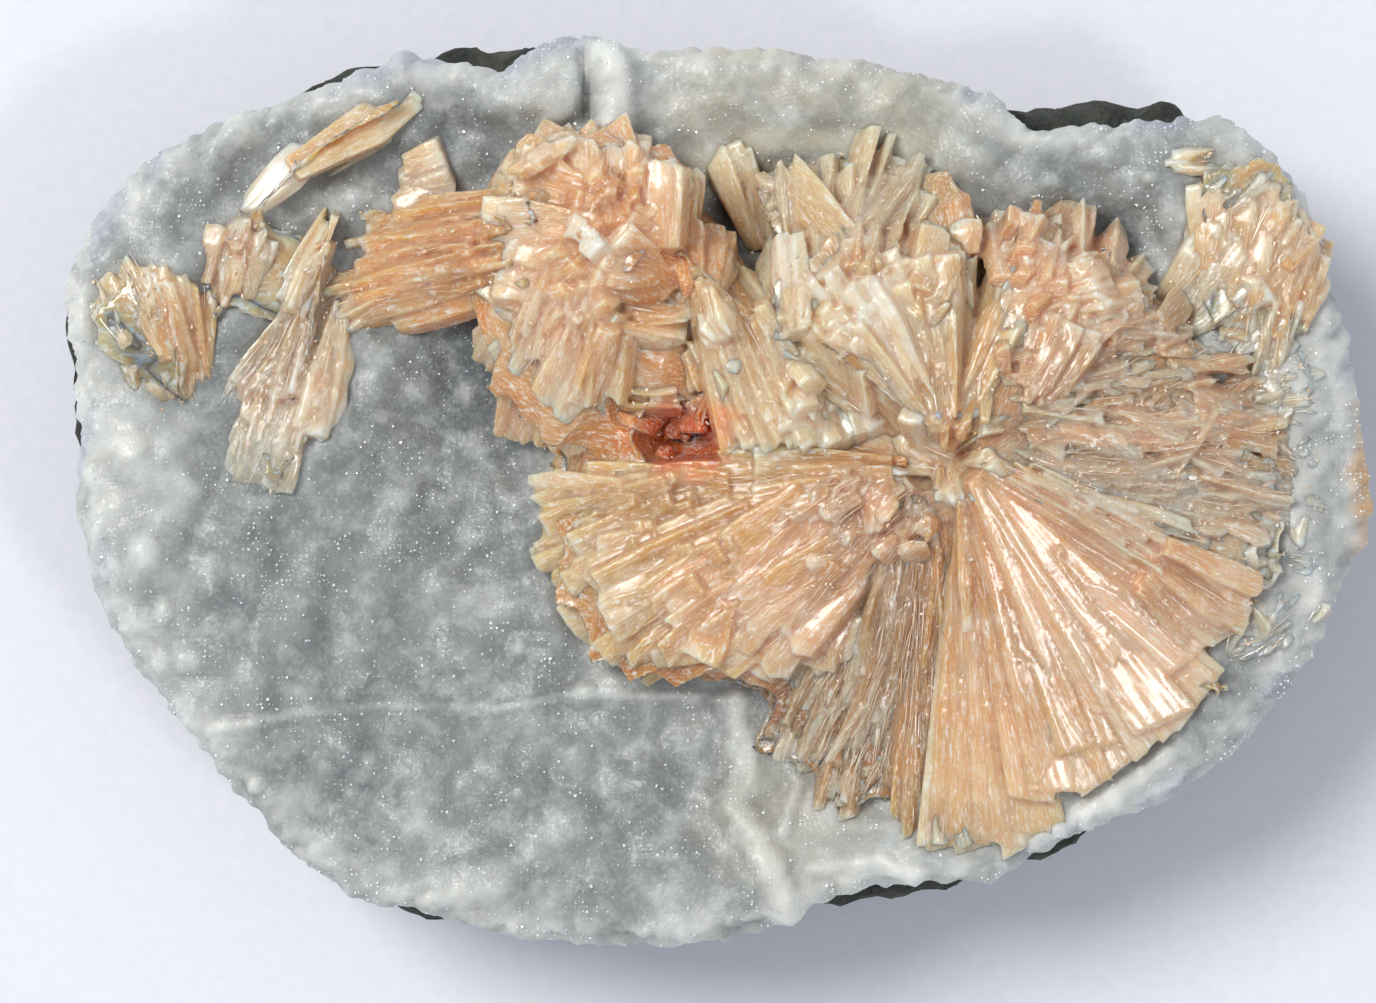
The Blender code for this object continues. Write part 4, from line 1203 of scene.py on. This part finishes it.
def colour_crust(points, share, rim, pale):
    """Blue-grey, paler on swellings and the rim, tan in the north, cream and rusty in places.

    Share is how far out each point is, rim how much of the crumbled rim it has, and pale how pale it is.
    """
    clouds = 0.22 * cloudy(points, 8.0, 31) + 0.16 * cloudy(points, 2.6, 32)
    lightness = 0.45 * (pale - 0.42) + clouds + 0.6 * rim * (0.8 + 0.6 * cloudy(points, 1.4, 36))
    lightness = lightness + 0.28 * smooth_share(0.72, 0.94, share)
    colour = blend_colours(linear(144, 147, 143), linear(232, 232, 224), np.clip(lightness, 0, 1))
    colour = blend_colours(colour, linear(90, 95, 96), np.clip(-lightness * 1.3, 0, 0.9))
    north = smooth_share(20.0, 27.0, points[:, 1]) * smooth_share(-6.0, 0.0, points[:, 0])
    streaks = ripples(points[:, 0] / 9 + points[:, 1] * 0.05, points[:, 1] / 0.9, 33)
    warm = linear(206, 197, 172)
    tan = north * (0.55 + 0.35 * streaks) * smooth_share(24, 14, points[:, 0])
    colour = blend_colours(colour, warm, tan)
    creamy = smooth_share(1.2, 0.2, off_centre(points, (6.0, -26.0), (9.0, 8.0)))
    colour = blend_colours(colour, warm, 0.4 * creamy)
    bluish = smooth_share(0.93, 0.99, share) * smooth_share(0.1, 0.5, cloudy(points, 4.0, 34))
    colour = blend_colours(colour, linear(150, 156, 186), 0.45 * bluish)
    stained = off_centre(points, (51.4, 0.6), (1.7, 6.0)) + 0.3 * cloudy(points, 1.6, 35)
    return blend_colours(linear(230, 182, 122), colour, smooth_share(0.3, 1.4, stained))


def dress_crust():
    """The crust of chalcedony: round swellings, knobs, ridges, painted shadow and shade, and a pale, crumbled
    rim.
    """
    crust = working_copy("chalcedony_crust", "chalcedony_skin")
    modify(crust, "REMESH", mode="VOXEL", voxel_size=CRUST_VOXEL, adaptivity=0.0)
    modify(crust, "SMOOTH", factor=0.6, iterations=12)
    points, normals = points_of(crust), normals_of(crust)
    share = edge_share(points)
    upward = smooth_share(0.0, 0.6, normals[:, 2])
    height, pale = bubbly(points + 0.9 * np.stack([cloudy(points, 2.2, 43 + i) for i in range(3)], axis=1))
    height = height * upward
    # Darker knobs paint shadow and shade into the crust's colour through pale.
    for centre, radii, rise, whiter in KNOBS_AND_PAINTED_SHADOWS:
        dome = smooth_share(1.25, 0.3, off_centre(points, centre, radii) + 0.22 * cloudy(points, 1.3, 44))
        height += rise * dome * upward
        pale += whiter * dome
    for line, half_width, rise, whiter in RIDGES:
        away = segment_distance(points, line) / half_width + 0.3 * cloudy(points, 1.0, 45)
        dome = smooth_share(1.4, 0.2, away)
        height += rise * dome * upward
        pale += whiter * dome
    rim = smooth_share(0.9, 0.985, share + 0.02 * cloudy(points, 2.5, 46))
    crumbled = 0.26 * cloudy(points, 0.9, 42) * (0.2 + 1.6 * rim) + 0.20 * cloudy(points, 3.0, 41)
    points = points + normals * (height + crumbled - 0.35 * upward)[:, None]
    move_points(crust, points)
    colour = colour_crust(points, share, rim, pale)
    paint(crust, "tint", np.column_stack([np.clip(colour, 0, 1), np.ones(len(colour))]))
    shade_smooth(crust)
    return crust


def model_druse_point():
    """A tiny pointed crystal about 1 mm across, from a three-sided cone, with a short tapering foot."""
    bpy.ops.object.select_all(action="DESELECT")
    bpy.ops.mesh.primitive_cone_add(vertices=3, radius1=1, radius2=0, depth=1.3, location=(0, 0, 0.65))
    point = bpy.context.object
    point.name = "druse_point"
    bpy.ops.object.transform_apply(location=True, rotation=False, scale=False)
    bpy.ops.object.mode_set(mode="EDIT")
    pick(lambda p: p.z < 0.1)
    bpy.ops.mesh.extrude_region_move(TRANSFORM_OT_translate={"value": (0, 0, -0.6)})
    bpy.ops.transform.resize(value=(0.6, 0.6, 1), center_override=(0, 0, -0.6))
    end_shape()
    return point


def scatter_sparkles(crust, material):
    """Thousands of tiny clear points standing on the crust, as one piece."""
    chance = np.random.default_rng(5)
    faces = crust.data.polygons
    normals, centres = vectors_of(faces, "normal"), vectors_of(faces, "center")
    upward = np.flatnonzero(normals[:, 2] > 0.35)
    clustered = 0.15 + smooth_share(-0.1, 0.6, cloudy(centres[upward], 2.2, 71))
    places = chance.choice(upward, DRUSE_POINTS, replace=False, p=clustered / clustered.sum())
    point = model_druse_point()
    grown = []
    for place in places:
        size = 0.07 + 0.11 * chance.random() ** 2
        tilt = Vector(normals[place] + chance.normal(0, 0.5, 3)).to_track_quat("Z", "Y").to_matrix()
        spin = Matrix.Rotation(chance.uniform(0, math.tau), 3, "Z")
        stand = (tilt @ spin @ Matrix.Scale(size, 3)).to_4x4()
        stand.translation = centres[place]
        grown.append(copied("druse", point, stand))
    bpy.data.objects.remove(point)
    finish_piece(joined("druse_sparkles", grown), material, slot="chalcedony")


def dress_basalt(material):
    """The slab of basalt, with broken sides over a flat foot."""
    rock = working_copy("basalt_matrix", "basalt_rock")
    modify(rock, "REMESH", mode="VOXEL", voxel_size=ROCK_VOXEL, adaptivity=0.0)
    modify(rock, "SMOOTH", factor=0.5, iterations=4)
    points, normals = points_of(rock), normals_of(rock)
    x_z_y = points[:, [0, 2, 1]]
    steps = np.abs(cloudy(x_z_y, 5.0, 53)) + np.abs(cloudy(points[:, [1, 2, 0]], 3.4, 54))
    broken = 0.6 * cloudy(points[:, [2, 0, 1]], 4.0, 51) + 0.4 * cloudy(x_z_y, 1.8, 52) - 1.1 * steps + 0.5
    broken *= smooth_share(0.1, 1.2, points[:, 2])
    points = points + normals * broken[:, None]
    points[:, 2] = np.maximum(points[:, 2], 0.0)
    move_points(rock, points)
    finish_piece(rock, material, "basalt_matrix", slot="basalt")


# Floor, light and camera, in metres

def set_floor():
    bpy.ops.mesh.primitive_plane_add(size=3.0, location=(0, 0, -0.0002))
    paper = bpy.context.object
    paper.name = "paper_floor"
    paper.data.materials.append(paper_finish())


def add_light(name, place, size, power, colour):
    light = bpy.data.lights.new(name, "AREA")
    light.shape = "DISK"
    light.size = size
    light.energy = power
    light.color = colour
    lamp = bpy.data.objects.new(name, light)
    bpy.context.scene.collection.objects.link(lamp)
    lamp.location = place
    lamp.rotation_euler = (Vector((0, 0, 0.02)) - Vector(place)).to_track_quat("-Z", "Y").to_euler()


def set_lights():
    """A pale room, a broad window, and a small one whose reflection is the glare on the star."""
    world = bpy.data.worlds.new("soft_room")
    bpy.context.scene.world = world
    world.use_nodes = True
    background = world.node_tree.nodes["Background"]
    background.inputs["Color"].default_value = (0.86, 0.91, 1.0, 1)
    background.inputs["Strength"].default_value = 0.46
    add_light("window", (-0.54, 0.36, 0.96), 0.5, 9.2, (1.0, 0.985, 0.96))
    add_light("far_window", (0.48, -0.40, 0.97), 0.15, 1.9, (0.97, 0.98, 1.0))
    bpy.context.scene.view_settings.view_transform = "Standard"


def set_camera():
    """A camera that looks straight down, as in the photo."""
    camera = bpy.data.cameras.new("camera")
    camera.sensor_width = 36.0
    camera.lens = 132.5
    camera.clip_start, camera.clip_end = 0.01, 10.0
    viewer = bpy.data.objects.new("camera", camera)
    bpy.context.scene.collection.objects.link(viewer)
    viewer.location = (-0.0021, -0.0009, 0.418)
    bpy.context.scene.camera = viewer


stilbite = stilbite_finish()
chalcedony = chalcedony_finish()
skin = dress_crust()
grow_stilbite(stilbite, fibre_finish(), skin)
scatter_sparkles(skin, sparkle_finish())
finish_piece(skin, chalcedony, "chalcedony_crust", slot="chalcedony")
dress_basalt(basalt_finish())
set_floor()
set_lights()
set_camera()
